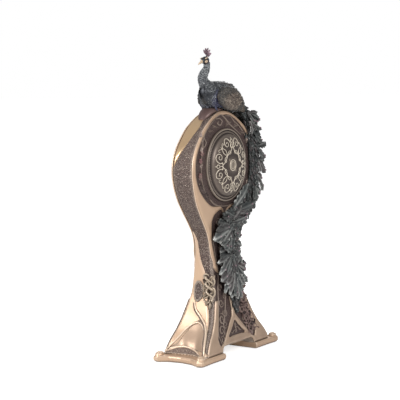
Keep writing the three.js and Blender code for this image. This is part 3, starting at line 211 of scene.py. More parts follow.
def modify(obj, kind, **settings):
    """Adds a modifier and applies it."""
    only(obj)
    modifier = obj.modifiers.new(kind.title(), kind)
    for key, value in settings.items():
        setattr(modifier, key, value)
    bpy.ops.object.modifier_apply(modifier=modifier.name)


def fuse(obj, voxel, rounds):
    """Melts a mesh into one casting with soft edges."""
    modify(obj, "REMESH", mode="VOXEL", voxel_size=voxel * MM, use_smooth_shade=True)
    modify(obj, "SMOOTH", factor=0.5, iterations=rounds)


def new_grid(name, columns, rows, place, closed=False):
    """A grid whose points are set by place(u, v) in millimetres, closed round u if asked."""
    bpy.ops.mesh.primitive_grid_add(x_subdivisions=columns, y_subdivisions=rows, size=1)
    obj = bpy.context.object
    obj.name = obj.data.name = name
    for vertex in obj.data.vertices:
        u, v = vertex.co.x + 0.5, vertex.co.y + 0.5
        vertex.co = place(0 if closed and u > 0.9999 else u, v) * MM
    return obj


def link(obj):
    bpy.context.collection.objects.link(obj)
    return obj


def copy_of(base):
    """A copy with its own mesh."""
    copy = base.copy()
    copy.data = base.data.copy()
    return link(copy)


def join(objs, name):
    """Joins pieces into one. Where some carry masks, the others get a lightly rubbed one."""
    if any("mask" in obj.data.color_attributes for obj in objs):
        for obj in objs:
            if "mask" not in obj.data.color_attributes:
                set_mask(obj, lambda co: (0.3, 0, 0))
    bpy.ops.object.select_all(action="DESELECT")
    for obj in objs:
        obj.select_set(True)
    bpy.context.view_layer.objects.active = objs[0]
    if len(objs) > 1:
        bpy.ops.object.join()
    obj = bpy.context.view_layer.objects.active
    obj.name = obj.data.name = name
    return obj


def to_mesh(obj):
    only(obj)
    bpy.ops.object.convert(target="MESH")
    return bpy.context.object


def tube(name, points, radius, taper=None, closed=False):
    """A round tube along points in millimetres, thinner where taper says so."""
    curve = bpy.data.curves.new(name, "CURVE")
    curve.dimensions = "3D"
    curve.bevel_depth = radius * MM
    curve.bevel_resolution = 3
    curve.use_fill_caps = True
    spline = curve.splines.new("POLY")
    spline.points.add(len(points) - 1)
    for i, (point, at) in enumerate(zip(spline.points, points)):
        point.co = (*(Vector(at) * MM), 1)
        point.radius = taper(i / (len(points) - 1)) if taper else 1
    spline.use_cyclic_u = closed
    return to_mesh(link(bpy.data.objects.new(name, curve)))


def place_copies(base, places, name, tones=None):
    """Copies of a base piece at the given places, joined into one piece. The base is removed.
    tones gives each copy its strength of the first mask and its third mask."""
    copies = []
    for i, matrix in enumerate(places):
        copy = copy_of(base)
        copy.data.transform(matrix)
        if tones:
            shade(copy, *tones[i])
        copies.append(copy)
    bpy.data.objects.remove(base)
    return join(copies, name)


def shade(obj, strength, tone, eye=1):
    """Scales a mesh's first two masks and sets its third one."""
    layer = obj.data.color_attributes["mask"].data
    values = [0.0] * (4 * len(layer))
    layer.foreach_get("color", values)
    values[0::4] = [value * strength for value in values[0::4]]
    values[1::4] = [value * eye for value in values[1::4]]
    values[2::4] = [tone] * len(layer)
    layer.foreach_set("color", values)


def node_copy(node, name):
    """A merged copy of a frame node's mesh, as a new piece."""
    obj = link(bpy.data.objects.new(name, nodes[node].data.copy()))
    weld(obj)
    return obj


def finish_piece(obj, finish, slot, *replaced, body="root"):
    """Sets a piece's finish, shading, body and the nodes it stands for. Its slot is not used."""
    obj.data.materials.clear()
    obj.data.materials.append(material_of(finish))
    only(obj)
    bpy.ops.object.shade_smooth_by_angle(angle=math.radians(50))
    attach(obj, body)
    if replaced:
        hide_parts(*replaced)


def dress(node, finish):
    """Gives a frame node that stays its finish."""
    material = material_of(finish)
    if not nodes[node].material_slots:
        nodes[node].data.materials.append(material)
    for entry in nodes[node].material_slots:
        entry.material = material


# Lofts of oval section, feathers and scrolls
def oval_frames(rows, steps=6):
    """Places along rows of x, y, z, half height and half thickness: centre, ahead, across, up and sizes."""
    centres = smooth_path([row[:3] for row in rows], steps)
    sizes = smooth_path([(row[3], row[4], 0) for row in rows], steps)
    last = len(centres) - 1
    frames = []
    for i, (centre, size) in enumerate(zip(centres, sizes)):
        ahead = (centres[min(i + 1, last)] - centres[max(i - 1, 0)]).normalized()
        across = (Vector((0, 1, 0)) - ahead * ahead.y).normalized()
        frames.append((centre, ahead, across, across.cross(ahead), max(size.x, 0.2), max(size.y, 0.2)))
    return frames


def oval_point(place, turn, grow=0):
    """A point on an oval section and the way out from it."""
    centre, _, across, up, high, deep = place
    out = (up * (math.cos(turn) / high) + across * (math.sin(turn) / deep)).normalized()
    return centre + up * high * math.cos(turn) + across * deep * math.sin(turn) + out * grow, out


def oval_body(name, frames, sides=28):
    last = len(frames) - 1
    obj = new_grid(
        name, sides, last, lambda u, v: oval_point(frames[round(v * last)], u * math.tau)[0], closed=True,
    )
    close_ends(obj)
    return obj


def spun(name, profile, columns, wave=None):
    """A closed ring turned round the dial's axis from a profile of radius and y in millimetres."""
    rows = len(profile)

    def place(u, v):
        radius, y = profile[round(v * rows) % rows]
        if wave:
            y += wave(radius, u)
        turn = u * math.tau
        return Vector((radius * math.cos(turn), y, DIAL_HEIGHT + radius * math.sin(turn)))

    obj = new_grid(name, columns, rows, place, closed=True)
    weld(obj, MERGE_REACH / 5)
    return obj


def seat(at, ahead, up, size):
    """A matrix that sets a unit piece at a place, its Y along ahead and its Z near up."""
    ahead = ahead.normalized()
    across = ahead.cross(up).normalized()
    turn = Matrix((across, ahead, across.cross(ahead))).transposed().to_4x4()
    return Matrix.Translation(at * MM) @ turn @ Matrix.Diagonal((*(Vector(size) * MM), 1))


def set_mask(obj, read):
    """Stores three masks on a mesh: read(co) gives the rubbed, the eye and the spare share."""
    layer = obj.data.color_attributes.new("mask", "FLOAT_COLOR", "POINT")
    for vertex, entry in zip(obj.data.vertices, layer.data):
        entry.color = (*read(vertex.co), 1)


def scale_base():
    """A small rounded body feather: one unit long and wide, with its tip along Y."""
    bpy.ops.mesh.primitive_uv_sphere_add(segments=8, ring_count=6, radius=1)
    obj = bpy.context.object
    for vertex in obj.data.vertices:
        x, y, z = vertex.co
        vertex.co = (x * (1 - 0.25 * max(0, -y)), y, z * (0.5 + 0.5 * y) + 0.15 * y)
    set_mask(obj, lambda co: (max(0, min(1, (math.hypot(co.x, co.y) - 0.6) * 2.6)) * (co.y > 0.1), 0, 0))
    return obj


def scales_on(frames, first, last, arcs, size, name, sign=1, tone=None):
    """Rows of body feathers on a loft. arcs gives the turns to fill, sign turns the tips round and
    tone(place) gives each feather's third mask."""
    places, tones = [], []
    rand = random.Random(name)
    for row, place in enumerate(frames[first:last]):
        girth = math.pi * (place[4] + place[5])
        count = max(6, round(girth / (size[0] * 1.5)))
        for k in range(count):
            turn = (k + 0.5 * (row % 2)) / count * math.tau
            if not any(low <= turn <= high for low, high in arcs):
                continue
            at, out = oval_point(place, turn + rand.uniform(-0.5, 0.5) / count * 2, -0.15)
            at += place[1] * rand.uniform(-0.7, 0.7)
            ahead = place[1] * sign + out * rand.uniform(0.1, 0.5) + place[2] * rand.uniform(-0.25, 0.25)
            grow = rand.uniform(0.85, 1.25)
            places.append(seat(at, ahead, out, [length * grow for length in size]))
            toned = tone(at) if tone else 0
            tones.append((1.4 * rand.random() ** 1.2 * (1 - 0.7 * toned), toned))
    return place_copies(scale_base(), places, name, tones)


def plume_mesh(columns, rows, fork=0.0):
    """A long feather between y 0 and 1 and x -1 and 1, with a rib, barbs and a tip that is round or
    forked. Its heights are in millimetres."""
    def place(u, v):
        turn = u * math.tau
        open_up = min(1, v / 0.5)
        end = math.sqrt(max(0, 1 - max(0, (v - 0.62) / 0.38) ** 2))
        width = (0.2 + 0.8 * open_up * open_up * (3 - 2 * open_up)) * end
        x = math.cos(turn)
        top = max(0, math.sin(turn))
        notch = 1 + fork * math.sin(v * 33) * (abs(x) > 0.85)
        barbs = 0.45 * math.sin(v * 26 - abs(x) * 6) * abs(x)
        eye = 0.7 * math.exp(-((v - 0.74) / 0.1) ** 2 - (x / 0.45) ** 2)
        z = 0.4 * math.sin(turn) + (top > 0) * (0.6 * math.exp(-(x / 0.2) ** 2) + barbs + eye) - 0.9 * x * x
        return Vector((x * width * notch, v, z)) / MM

    obj = new_grid("plume", columns, rows, place, closed=True)
    close_ends(obj)

    def masks(co):
        rim = max(abs(co.x) ** 8, max(0, (co.y - 0.9) / 0.1))
        eye = math.exp(-((co.y - 0.72) / 0.13) ** 2 - (co.x / 0.5) ** 2)
        if fork:
            eye = max(0, min(1, (co.y - 0.2) / 0.5))
            rim += 0.5 * max(0, math.sin(co.y * 26 - abs(co.x) * 6)) * abs(co.x) * co.y
        return min(1, rim + 0.5 * math.exp(-(co.x / 0.12) ** 2)), eye, 0

    set_mask(obj, masks)
    return obj


def plumes(name, rows, base, seed=1, rub=(0.15, 0.95)):
    """Feathers or leaves along short arcs, as copies of a flat base, which is removed. Each row: root,
    middle, tip, half width, way out and thickness."""
    copies = []
    rand = random.Random(seed)
    for root, middle, tip, half, out, thick in rows:
        copy = copy_of(base)
        for vertex in copy.data.vertices:
            x, v, z = vertex.co
            at = root * (1 - v) ** 2 + middle * (2 * v * (1 - v)) + tip * v * v
            ahead = ((middle - root) * (1 - v) + (tip - middle) * v).normalized()
            across = ahead.cross(out).normalized()
            vertex.co = (at + across * x * half + across.cross(ahead) * z * thick) * MM
        shade(copy, rand.uniform(*rub), rand.choice((0, 0, 0.4, 1)), rand.random() ** 1.5)
        copies.append(copy)
    bpy.data.objects.remove(base)
    obj = join(copies, name)
    edit(obj, FACES_OUT)
    return obj


def curl(centre, radius, start, turns):
    """Points of a flat spiral, from its outer end in to 0.3 of its radius."""
    points = []
    steps = 26
    for i in range(steps + 1):
        t = i / steps
        r = radius * (1 - 0.7 * t)
        turn = start + turns * math.tau * t
        points.append((centre[0] + r * math.cos(turn), centre[1] + r * math.sin(turn)))
    return points


def rear_stroke(points, radius, lift, taper, rounds=4):
    """A raised line on the rear face through points of x and z."""
    path = smooth_path([(x, 0, z) for x, z in points], rounds)
    path = [Vector((p.x, case_half_depth(p.z) + lift, p.z)) for p in path]
    return tube("stroke", path, radius, taper)


def dome_rise(t):
    """Height of the cover's dome over its foot, at a share of its radius."""
    return DOME_RISE * (1 - t ** 4)


def dome_stroke(points, radius, closed, taper=None):
    """A raised line on the cover's dome, through points of x and of height over the dial's middle."""
    path = []
    for p in smooth_path([(x, 0, z) for x, z in points], 3, closed):
        t = min(1, math.hypot(p.x, p.z) / DOME_RADIUS)
        path.append(Vector((p.x, FACE_Y + DOME_FOOT + dome_rise(t) + 0.25, DIAL_HEIGHT + p.z)))
    return tube("scroll", path, radius * sizes().scroll_width, taper, closed=closed)


def thin_ends(t):
    return 0.35 + 0.65 * math.sin(math.pi * t) ** 0.6


# Shared effects for the materials
def group_tree(name, inputs, outputs):
    tree = bpy.data.node_groups.new(name, "ShaderNodeTree")
    for label, value in inputs:
        socket = tree.interface.new_socket(label, in_out="INPUT", socket_type="NodeSocketFloat")
        socket.default_value = value
    for label in outputs:
        tree.interface.new_socket(label, in_out="OUTPUT", socket_type="NodeSocketFloat")
    return tree, tree.nodes.new("NodeGroupInput"), tree.nodes.new("NodeGroupOutput")


def map_range(tree, source, low, high, out_low=0, out_high=1):
    node = tree.nodes.new("ShaderNodeMapRange")
    tree.links.new(source, node.inputs["Value"])
    values = {"From Min": low, "From Max": high, "To Min": out_low, "To Max": out_high}
    for label, value in values.items():
        node.inputs[label].default_value = value
    return node.outputs["Result"]


def math_node(tree, kind, a, b):
    node = tree.nodes.new("ShaderNodeMath")
    node.operation = kind
    node.use_clamp = kind in ("ADD", "SUBTRACT")
    for socket, value in zip(node.inputs, (a, b)):
        if isinstance(value, (int, float)):
            socket.default_value = value
        else:
            tree.links.new(value, socket)
    return node.outputs[0]


def wear_group():
    """Masks for a rubbed casting: raised edges, hollows with patina and painted shade, and a soft mottle."""
    tree, given, out = group_tree(
        "cast_wear", [("Mottle Scale", 60), ("Reach", 0.004)], ["Edge", "WashAndShade", "Mottle"],
    )
    shape = tree.nodes.new("ShaderNodeNewGeometry")
    edge = map_range(tree, shape.outputs["Pointiness"], 0.505, 0.56)
    crease = map_range(tree, shape.outputs["Pointiness"], 0.49, 0.43)
    # Creases and ambient occlusion make the hollow mask: dark patina there, and painted shade where less
    # light reaches
    shade = tree.nodes.new("ShaderNodeAmbientOcclusion")
    shade.samples = 6
    tree.links.new(given.outputs["Reach"], shade.inputs["Distance"])
    occlusion_shade = map_range(tree, shade.outputs["AO"], 0.85, 0.25)
    tree.links.new(edge, out.inputs["Edge"])
    tree.links.new(math_node(tree, "ADD", crease, occlusion_shade), out.inputs["WashAndShade"])
    place = tree.nodes.new("ShaderNodeTexCoord")
    noise = tree.nodes.new("ShaderNodeTexNoise")
    noise.inputs["Detail"].default_value = 4
    tree.links.new(place.outputs["Object"], noise.inputs["Vector"])
    tree.links.new(given.outputs["Mottle Scale"], noise.inputs["Scale"])
    tree.links.new(map_range(tree, noise.outputs["Fac"], 0.3, 0.7), out.inputs["Mottle"])
    return tree


def grain_group():
    """Fine grain of a cast surface: a pebble height, a mask of pebble tops, and a fine noise height."""
    tree, given, out = group_tree("cast_grain", [("Scale", 800)], ["Pebble", "Top", "Fine"])
    place = tree.nodes.new("ShaderNodeTexCoord")
    cells = tree.nodes.new("ShaderNodeTexVoronoi")
    tree.links.new(place.outputs["Object"], cells.inputs["Vector"])
    tree.links.new(given.outputs["Scale"], cells.inputs["Scale"])
    tree.links.new(map_range(tree, cells.outputs["Distance"], 0.1, 0.75, 1, 0), out.inputs["Pebble"])
    speck = map_range(tree, cells.outputs["Distance"], 0.36, 0.12)
    chance = tree.nodes.new("ShaderNodeSeparateColor")
    tree.links.new(cells.outputs["Color"], chance.inputs[0])
    picked = map_range(tree, chance.outputs[0], 0.1, 0.8)
    tree.links.new(math_node(tree, "MULTIPLY", speck, picked), out.inputs["Top"])
    noise = tree.nodes.new("ShaderNodeTexNoise")
    noise.inputs["Detail"].default_value = 3
    tree.links.new(place.outputs["Object"], noise.inputs["Vector"])
    tree.links.new(given.outputs["Scale"], noise.inputs["Scale"])
    tree.links.new(noise.outputs["Fac"], out.inputs["Fine"])
    return tree


GROUPS = {}


def group_node(tree, name, **values):
    if name not in GROUPS:
        GROUPS[name] = {"cast_wear": wear_group, "cast_grain": grain_group}[name]()
    node = tree.nodes.new("ShaderNodeGroup")
    node.node_tree = GROUPS[name]
    for label, value in values.items():
        node.inputs[label.replace("_", " ")].default_value = value
    return node.outputs


def mixed(tree, factor, a, b):
    """Colour a, turned to colour b by a factor. Colours are sockets or plain values."""
    node = tree.nodes.new("ShaderNodeMix")
    node.data_type = "RGBA"
    node.clamp_factor = True
    for socket, value in ((node.inputs[0], factor), (node.inputs[6], a), (node.inputs[7], b)):
        if isinstance(value, bpy.types.NodeSocket):
            tree.links.new(value, socket)
        elif isinstance(value, (int, float)):
            socket.default_value = value
        else:
            socket.default_value = (*value, 1)
    return node.outputs[2]


def blank_material(name):
    material = bpy.data.materials.new(name)
    material.use_nodes = True
    tree = material.node_tree
    return material, tree, tree.nodes["Principled BSDF"]


def bump(tree, height, strength, distance, shader):
    node = tree.nodes.new("ShaderNodeBump")
    node.inputs["Strength"].default_value = strength
    node.inputs["Distance"].default_value = distance * MM
    tree.links.new(height, node.inputs["Height"])
    tree.links.new(node.outputs["Normal"], shader.inputs["Normal"])


# Cast finishes: base colour or the name of a user's colour, patina and painted shade in the hollows, rubbed
# colour on raised edges, mottled tint, and what differs from the usual casting
# The reach sets how far ambient occlusion looks when it paints shade into the hollows
CAST_LOOK = {
    "rough": 0.42, "metal": 0.4, "pebble": 0, "mottle": 60, "rub_on": 0.6, "reach": 0.004, "wash_and_shade_on": 0.9,
    "grain": 0.15, "grain_scale": 1500, "eye": None, "tone": None,
}
CASTINGS = {
    "pale_gold": (
        "gold", (0.13, 0.085, 0.06), (0.92, 0.8, 0.66), (0.5, 0.325, 0.22),
        {"metal": 0.45, "mottle": 18, "rub_on": 0.5, "reach": 0.006},
    ),
    "polished_gold": (
        (0.68, 0.48, 0.29), (0.25, 0.16, 0.09), (1, 0.88, 0.7), (0.45, 0.3, 0.17),
        {"rough": 0.3, "metal": 0.75, "mottle": 14, "grain": 0.05},
    ),
    # Darker worn gold; on the niche's drape its darkness is painted shade of the recess
    "worn_and_shaded_gold": (
        (0.5, 0.355, 0.255), (0.06, 0.042, 0.033), (0.88, 0.75, 0.6), (0.33, 0.23, 0.165),
        {"rough": 0.4, "metal": 0.5, "mottle": 45, "reach": 0.006},
    ),
    "gold_pebble": (
        (0.5, 0.36, 0.28), (0.12, 0.085, 0.07), (0.92, 0.8, 0.66), (0.32, 0.22, 0.17),
        {"pebble": 950, "mottle": 24},
    ),
    "pebbled_bronze": (
        "dark", (0.06, 0.042, 0.038), (0.85, 0.72, 0.6), (0.14, 0.1, 0.09),
        {"rough": 0.4, "metal": 0.45, "pebble": 950, "mottle": 24, "eye": (0.1, 0.07, 0.06),
         "tone": (0.085, 0.054, 0.05)},
    ),
    "relief_bronze": (
        (0.11, 0.078, 0.068), (0.014, 0.01, 0.01), (0.42, 0.33, 0.27), (0.07, 0.04, 0.04),
        {"metal": 0.45, "mottle": 90, "rub_on": 0.5, "eye": (0.12, 0.08, 0.07)},
    ),
    "panel_bronze": (
        (0.075, 0.042, 0.04), (0.01, 0.007, 0.007), (0.32, 0.22, 0.19), (0.045, 0.024, 0.025),
        {"metal": 0.35, "rub_on": 0.45, "eye": (0.06, 0.035, 0.035)},
    ),
    "antique_bronze": (
        (0.085, 0.064, 0.055), (0.014, 0.011, 0.01), (0.46, 0.38, 0.31), (0.05, 0.037, 0.033),
        {"metal": 0.5, "mottle": 35, "grain": 0.1, "rub_on": 0.7},
    ),
    "rubbed_line": (
        (0.55, 0.46, 0.365), (0.09, 0.07, 0.055), (0.9, 0.8, 0.66), (0.42, 0.35, 0.27),
        {"rough": 0.35, "mottle": 80, "reach": 0.002, "eye": (0.09, 0.068, 0.058)},
    ),
    "antique_gold": (
        (0.14, 0.1, 0.075), (0.02, 0.015, 0.013), (0.8, 0.66, 0.5), (0.07, 0.05, 0.04),
        {"rough": 0.4, "metal": 0.45, "mottle": 160, "rub_on": 0.35, "eye": (0.09, 0.065, 0.05)},
    ),
    "bird_paint": (
        (0.024, 0.027, 0.031), (0.004, 0.004, 0.005), (0.56, 0.58, 0.59), (0.022, 0.024, 0.035),
        {"rough": 0.4, "metal": 0.3, "mottle": 45, "reach": 0.002, "wash_and_shade_on": 0.6, "rub_on": 0.05,
         "eye": (0.05, 0.08, 0.16), "tone": (0.035, 0.034, 0.11)},
    ),
    "silver_paint": (
        (0.05, 0.053, 0.065), (0.01, 0.01, 0.015), (0.5, 0.51, 0.55), (0.025, 0.025, 0.05),
        {"metal": 0.3, "mottle": 90, "rub_on": 0.08, "eye": (0.06, 0.065, 0.09), "tone": (0.03, 0.03, 0.08)},
    ),
    "cheek_paint": (
        (0.62, 0.46, 0.31), (0.12, 0.07, 0.04), (0.85, 0.74, 0.58), (0.42, 0.29, 0.19),
        {"rough": 0.45, "metal": 0.1, "mottle": 150, "rub_on": 0.2},
    ),
    "crown_paint": (
        (0.09, 0.055, 0.07), (0.015, 0.01, 0.012), (0.36, 0.28, 0.3), (0.05, 0.03, 0.04),
        {"metal": 0.3, "mottle": 150, "rub_on": 0.1},
    ),
    "wing_paint": (
        (0.11, 0.082, 0.065), (0.01, 0.008, 0.007), (0.62, 0.52, 0.42), (0.045, 0.034, 0.03),
        {"metal": 0.35, "mottle": 90, "reach": 0.002, "rub_on": 0.06, "eye": (0.07, 0.08, 0.065),
         "tone": (0.018, 0.02, 0.022)},
    ),
    "crest_paint": (
        (0.22, 0.12, 0.15), (0.04, 0.02, 0.03), (0.6, 0.45, 0.5), (0.11, 0.06, 0.08),
        {"rough": 0.45, "metal": 0.15, "mottle": 200, "rub_on": 0.15, "eye": (0.4, 0.22, 0.28),
         "tone": (0.07, 0.045, 0.055)},
    ),
    "flower_paint": (
        (0.19, 0.08, 0.08), (0.03, 0.012, 0.012), (0.55, 0.36, 0.33), (0.1, 0.04, 0.045),
        {"rough": 0.45, "metal": 0.3, "mottle": 120, "rub_on": 0.3},
    ),
    "train_paint": (
        "train", (0.002, 0.002, 0.003), (0.74, 0.75, 0.71), (0.007, 0.008, 0.01),
        {"rough": 0.4, "metal": 0.2, "mottle": 45, "reach": 0.005, "rub_on": 0.02, "grain": 0.3,
         "grain_scale": 900, "eye": (0.05, 0.063, 0.064), "tone": (0.035, 0.022, 0.024)},
    ),
}
# Moulded and machined finishes: colour, roughness, and what differs from the usual one
GLASS = {"Transmission Weight": 1, "IOR": 1.45}
PLAINS = {
    "eye_paint": ((0.01, 0.01, 0.01), 0.12, {"grain": 0}),
    "clear_glass": ((1, 1, 1), 0.02, {"grain": 0, "dirt": 0.01, "sockets": GLASS}),
    "numeral_ink": ((0.03, 0.03, 0.03), 0.4, {}),
    "satin_ivory": ((0.82, 0.78, 0.66), 0.45, {"grain": 0.03}),
    "machined_brass": ((0.78, 0.58, 0.27), 0.28, {"metal": 1}),
    "turned_steel": ((0.6, 0.61, 0.63), 0.3, {"metal": 1}),
    "black_plastic": ((0.03, 0.03, 0.032), 0.42, {}),
    "wheel_plastic": ((0.7, 0.7, 0.66), 0.5, {}),
    "black_rubber": ((0.025, 0.025, 0.025), 0.8, {}),
    "black_felt": ((0.03, 0.028, 0.028), 1, {"grain": 0.8}),
    "green_board": ((0.02, 0.16, 0.06), 0.4, {}),
    "copper_wire": ((0.75, 0.33, 0.16), 0.35, {"metal": 1, "grain": 0.5}),
    "battery_jacket": ((0.1, 0.13, 0.3), 0.35, {}),
}
MATERIALS = {}


def cast_finish(name, base, wash_and_shade, rub, tint, changes):
    """Cast and rubbed resin: a base colour, dark patina and painted shade in the hollows, a rubbed colour on
    raised edges, and a pebbled or finely grained surface. The mesh's masks bring in rub, eye and tone."""
    look = CAST_LOOK | changes
    if isinstance(base, str):
        base = getattr(bpy.context.scene.clock_colours, base)
    material, tree, shader = blank_material(name)
    wear = group_node(tree, "cast_wear", Mottle_Scale=look["mottle"], Reach=look["reach"])
    texture = group_node(tree, "cast_grain", Scale=look["pebble"] or look["grain_scale"])
    colour = mixed(tree, math_node(tree, "MULTIPLY", wear["Mottle"], 0.6), base, tint)
    if look["pebble"]:
        colour = mixed(tree, math_node(tree, "MULTIPLY", texture["Pebble"], 0.5), wash_and_shade, colour)
        colour = mixed(tree, texture["Top"], colour, rub)
    if look["eye"]:
        stored = tree.nodes.new("ShaderNodeAttribute")
        stored.attribute_name = "mask"
        masks = tree.nodes.new("ShaderNodeSeparateColor")
        tree.links.new(stored.outputs["Color"], masks.inputs[0])
        colour = mixed(tree, masks.outputs[2], colour, look["tone"] or base)
        colour = mixed(tree, math_node(tree, "MULTIPLY", masks.outputs[1], 0.7), colour, look["eye"])
        colour = mixed(tree, math_node(tree, "MULTIPLY", masks.outputs[0], 0.8), colour, rub)
    # Patina and painted shade: the hollow mask darkens creases and places that ambient occlusion finds
    # covered
    colour = mixed(tree, math_node(tree, "MULTIPLY", wear["WashAndShade"], look["wash_and_shade_on"]), colour, wash_and_shade)
    colour = mixed(tree, math_node(tree, "MULTIPLY", wear["Edge"], look["rub_on"]), colour, rub)
    tree.links.new(colour, shader.inputs["Base Color"])
    shader.inputs["Metallic"].default_value = look["metal"]
    rough = map_range(tree, wear["WashAndShade"], 0, 1, look["rough"], look["rough"] + 0.25)
    tree.links.new(rough, shader.inputs["Roughness"])
    if look["pebble"]:
        bump(tree, texture["Pebble"], 0.8, 0.5, shader)
    else:
        bump(tree, texture["Fine"], look["grain"], 0.25, shader)
    return material


def plain_finish(name, colour, rough, changes):
    """A moulded or machined surface with a fine grain and a little dirt."""
    look = {"metal": 0, "grain": 0.1, "dirt": 0.2, "sockets": {}} | changes
    material, tree, shader = blank_material(name)
    texture = group_node(tree, "cast_grain", Scale=1200)
    wear = group_node(tree, "cast_wear", Mottle_Scale=90)
    darker = [channel * (1 - look["dirt"]) for channel in colour]
    tree.links.new(mixed(tree, wear["Mottle"], colour, darker), shader.inputs["Base Color"])
    for label, value in ({"Roughness": rough, "Metallic": look["metal"]} | look["sockets"]).items():
        shader.inputs[label].default_value = value
    bump(tree, texture["Fine"], look["grain"], 0.2, shader)
    return material


def material_of(finish):
    if finish not in MATERIALS:
        if finish in CASTINGS:
            MATERIALS[finish] = cast_finish(finish, *CASTINGS[finish])
        else:
            MATERIALS[finish] = plain_finish(finish, *PLAINS[finish])
    return MATERIALS[finish]


def sizes():
    return bpy.context.scene.clock_sizes


# Outlines of the skins on the case, as shares of the half width or depth there and of the height
FRAME_OUTER_SHARES = [
    (0.62, 0.342), (0.89, 0.362), (0.93, 0.395), (1, 0.428), (1, 0.469), (1, 0.51), (1, 0.55), (1, 0.575),
    (1, 0.61), (1, 0.645), (1, 0.69), (1, 0.73), (1, 0.758), (1, 0.798), (1, 0.83), (1, 0.862),
    (1, 0.888), (1, 0.91), (1, 0.94), (1, 0.977), (1, 0.992), (0.7, 1.001),
]
FRAME_INNER_SHARES = [
    (0, 0.985), (0.51, 0.985), (0.78, 0.968), (0.85, 0.943), (0.885, 0.912), (0.91, 0.866), (0.92, 0.834),
    (0.925, 0.796), (0.915, 0.75), (0.88, 0.706), (0.79, 0.672), (0.643, 0.638), (0.5, 0.62),
    (0.34, 0.616), (0.19, 0.614), (0.1, 0.604), (0, 0.586),
]
FRAME_LOWER_SHARES = [
    (0, 0.574), (0.14, 0.597), (0.25, 0.597), (0.36, 0.59), (0.48, 0.58), (0.6, 0.561),
    (0.69, 0.5375), (0.79, 0.506), (0.86, 0.466), (0.82, 0.43), (0.75, 0.394), (0.68, 0.363),
]
BRACE_PANEL_SHARES = [
    (0.09, 0.24), (0.06, 0.19), (0.1, 0.165), (0.4, 0.094), (0.48, 0.066), (0.56, 0.056), (0.61, 0.066),
    (0.67, 0.085), (0.72, 0.12), (0.75, 0.156), (0.765, 0.2), (0.77, 0.235),
]
BRACE_OUTER_SHARES = [
    (0.965, 0.235), (0.97, 0.16), (0.97, 0.119), (0.975, 0.081), (0.975, 0.06), (0.975, 0.044),
]
BRACE_TRIANGLE_SHARES = [(0, 0.141), (0.29, 0.0835), (-0.29, 0.0835)]
APRON_SHARES = [
    (-0.94, 0.03), (-0.94, 0.06), (-0.93, 0.12), (-0.92, 0.2), (-0.91, 0.28), (-0.9, 0.366), (-0.9, 0.44),
    (-0.9, 0.52), (-0.5, 0.484), (-0.37, 0.44), (-0.14, 0.394), (0.2, 0.356), (0.47, 0.32), (0.55, 0.25),
    (0.65, 0.2), (0.73, 0.16), (0.79, 0.12), (0.86, 0.06), (0.9, 0.03),
]
NICHE_SHARES = [
    (0.27, 0.155), (0.07, 0.152), (-0.2, 0.137), (-0.46, 0.097), (-0.58, 0.065), (-0.79, 0.046),
    (0.78, 0.052), (0.7, 0.078), (0.62, 0.112), (0.47, 0.143),
]
ARCH = {"half_width": 38, "height": 16.5, "corner": 7}
CUT_LENGTH = 90


def arch_half(low):
    """Right half of the arch under the case, from the top to the foot."""
    a, h, r = ARCH["half_width"], ARCH["height"], ARCH["corner"]
    steps = 5
    turns = [i / steps * math.pi / 2 for i in range(steps + 1)]
    corner = [(a - r * (1 - math.cos(t)), h - r * (1 - math.sin(t))) for t in reversed(turns)]
    return [*corner, (a, low)]


# The case, with its bore and the arch under it
def case_ring(z):
    """Points round the case at one height, closer together round its corners."""
    w, h, r = case_half_width(z), case_half_depth(z), CORNER_RADIUS
    flank_steps, corner_steps, face_steps = 8, 6, 16
    depths = [s / flank_steps * (h - r) for s in range(flank_steps)]
    quarter = [(side_surface(y, z), y) for y in depths]
    for i in range(corner_steps + 1):
        turn = i / corner_steps * math.pi / 2
        quarter.append((w - r * (1 - math.cos(turn)), h - r * (1 - math.sin(turn))))
    quarter += [((w - r) * (1 - i / face_steps), h) for i in range(1, face_steps + 1)]
    half = [*quarter, *[(-x, y) for x, y in reversed(quarter[:-1])]]
    return [*half, *[(-x, -y) for x, y in half[1:-1]]]


def make_case(name):
    """One smooth closed loft from the foot to the top."""
    rows = 170
    levels = [RIM_HEIGHT + (BODY_HEIGHT - RIM_HEIGHT) * i / rows for i in range(rows + 1)]
    rings = [[Vector((x, y, z)) for x, y in case_ring(z)] for z in levels]
    count = len(rings[0])

    def place(u, v):
        return rings[round(v * rows)][round(u * count) % count]

    case = new_grid(name, count, rows, place)
    close_ends(case, MERGE_REACH)
    return case


def cut(obj, cutter):
    modify(obj, "BOOLEAN", operation="DIFFERENCE", object=cutter, solver="EXACT")
    bpy.data.objects.remove(cutter)


def bore_cutter():
    bpy.ops.mesh.primitive_cylinder_add(
        vertices=96, radius=BORE_RADIUS * MM, depth=CUT_LENGTH * MM, location=(0, 0, DIAL_HEIGHT * MM),
        rotation=(math.pi / 2, 0, 0),
    )
    cutter = bpy.context.object
    bpy.ops.object.transform_apply()
    return cutter


def arch_cutter():
    half = arch_half(-1)
    obj = flat_plate("arch_cut", [half + flipped(half)], CUT_LENGTH, smooth=False)
    for vertex in obj.data.vertices:
        x, z, y = vertex.co
        vertex.co = (x, y, z)
    weld(obj)
    return obj


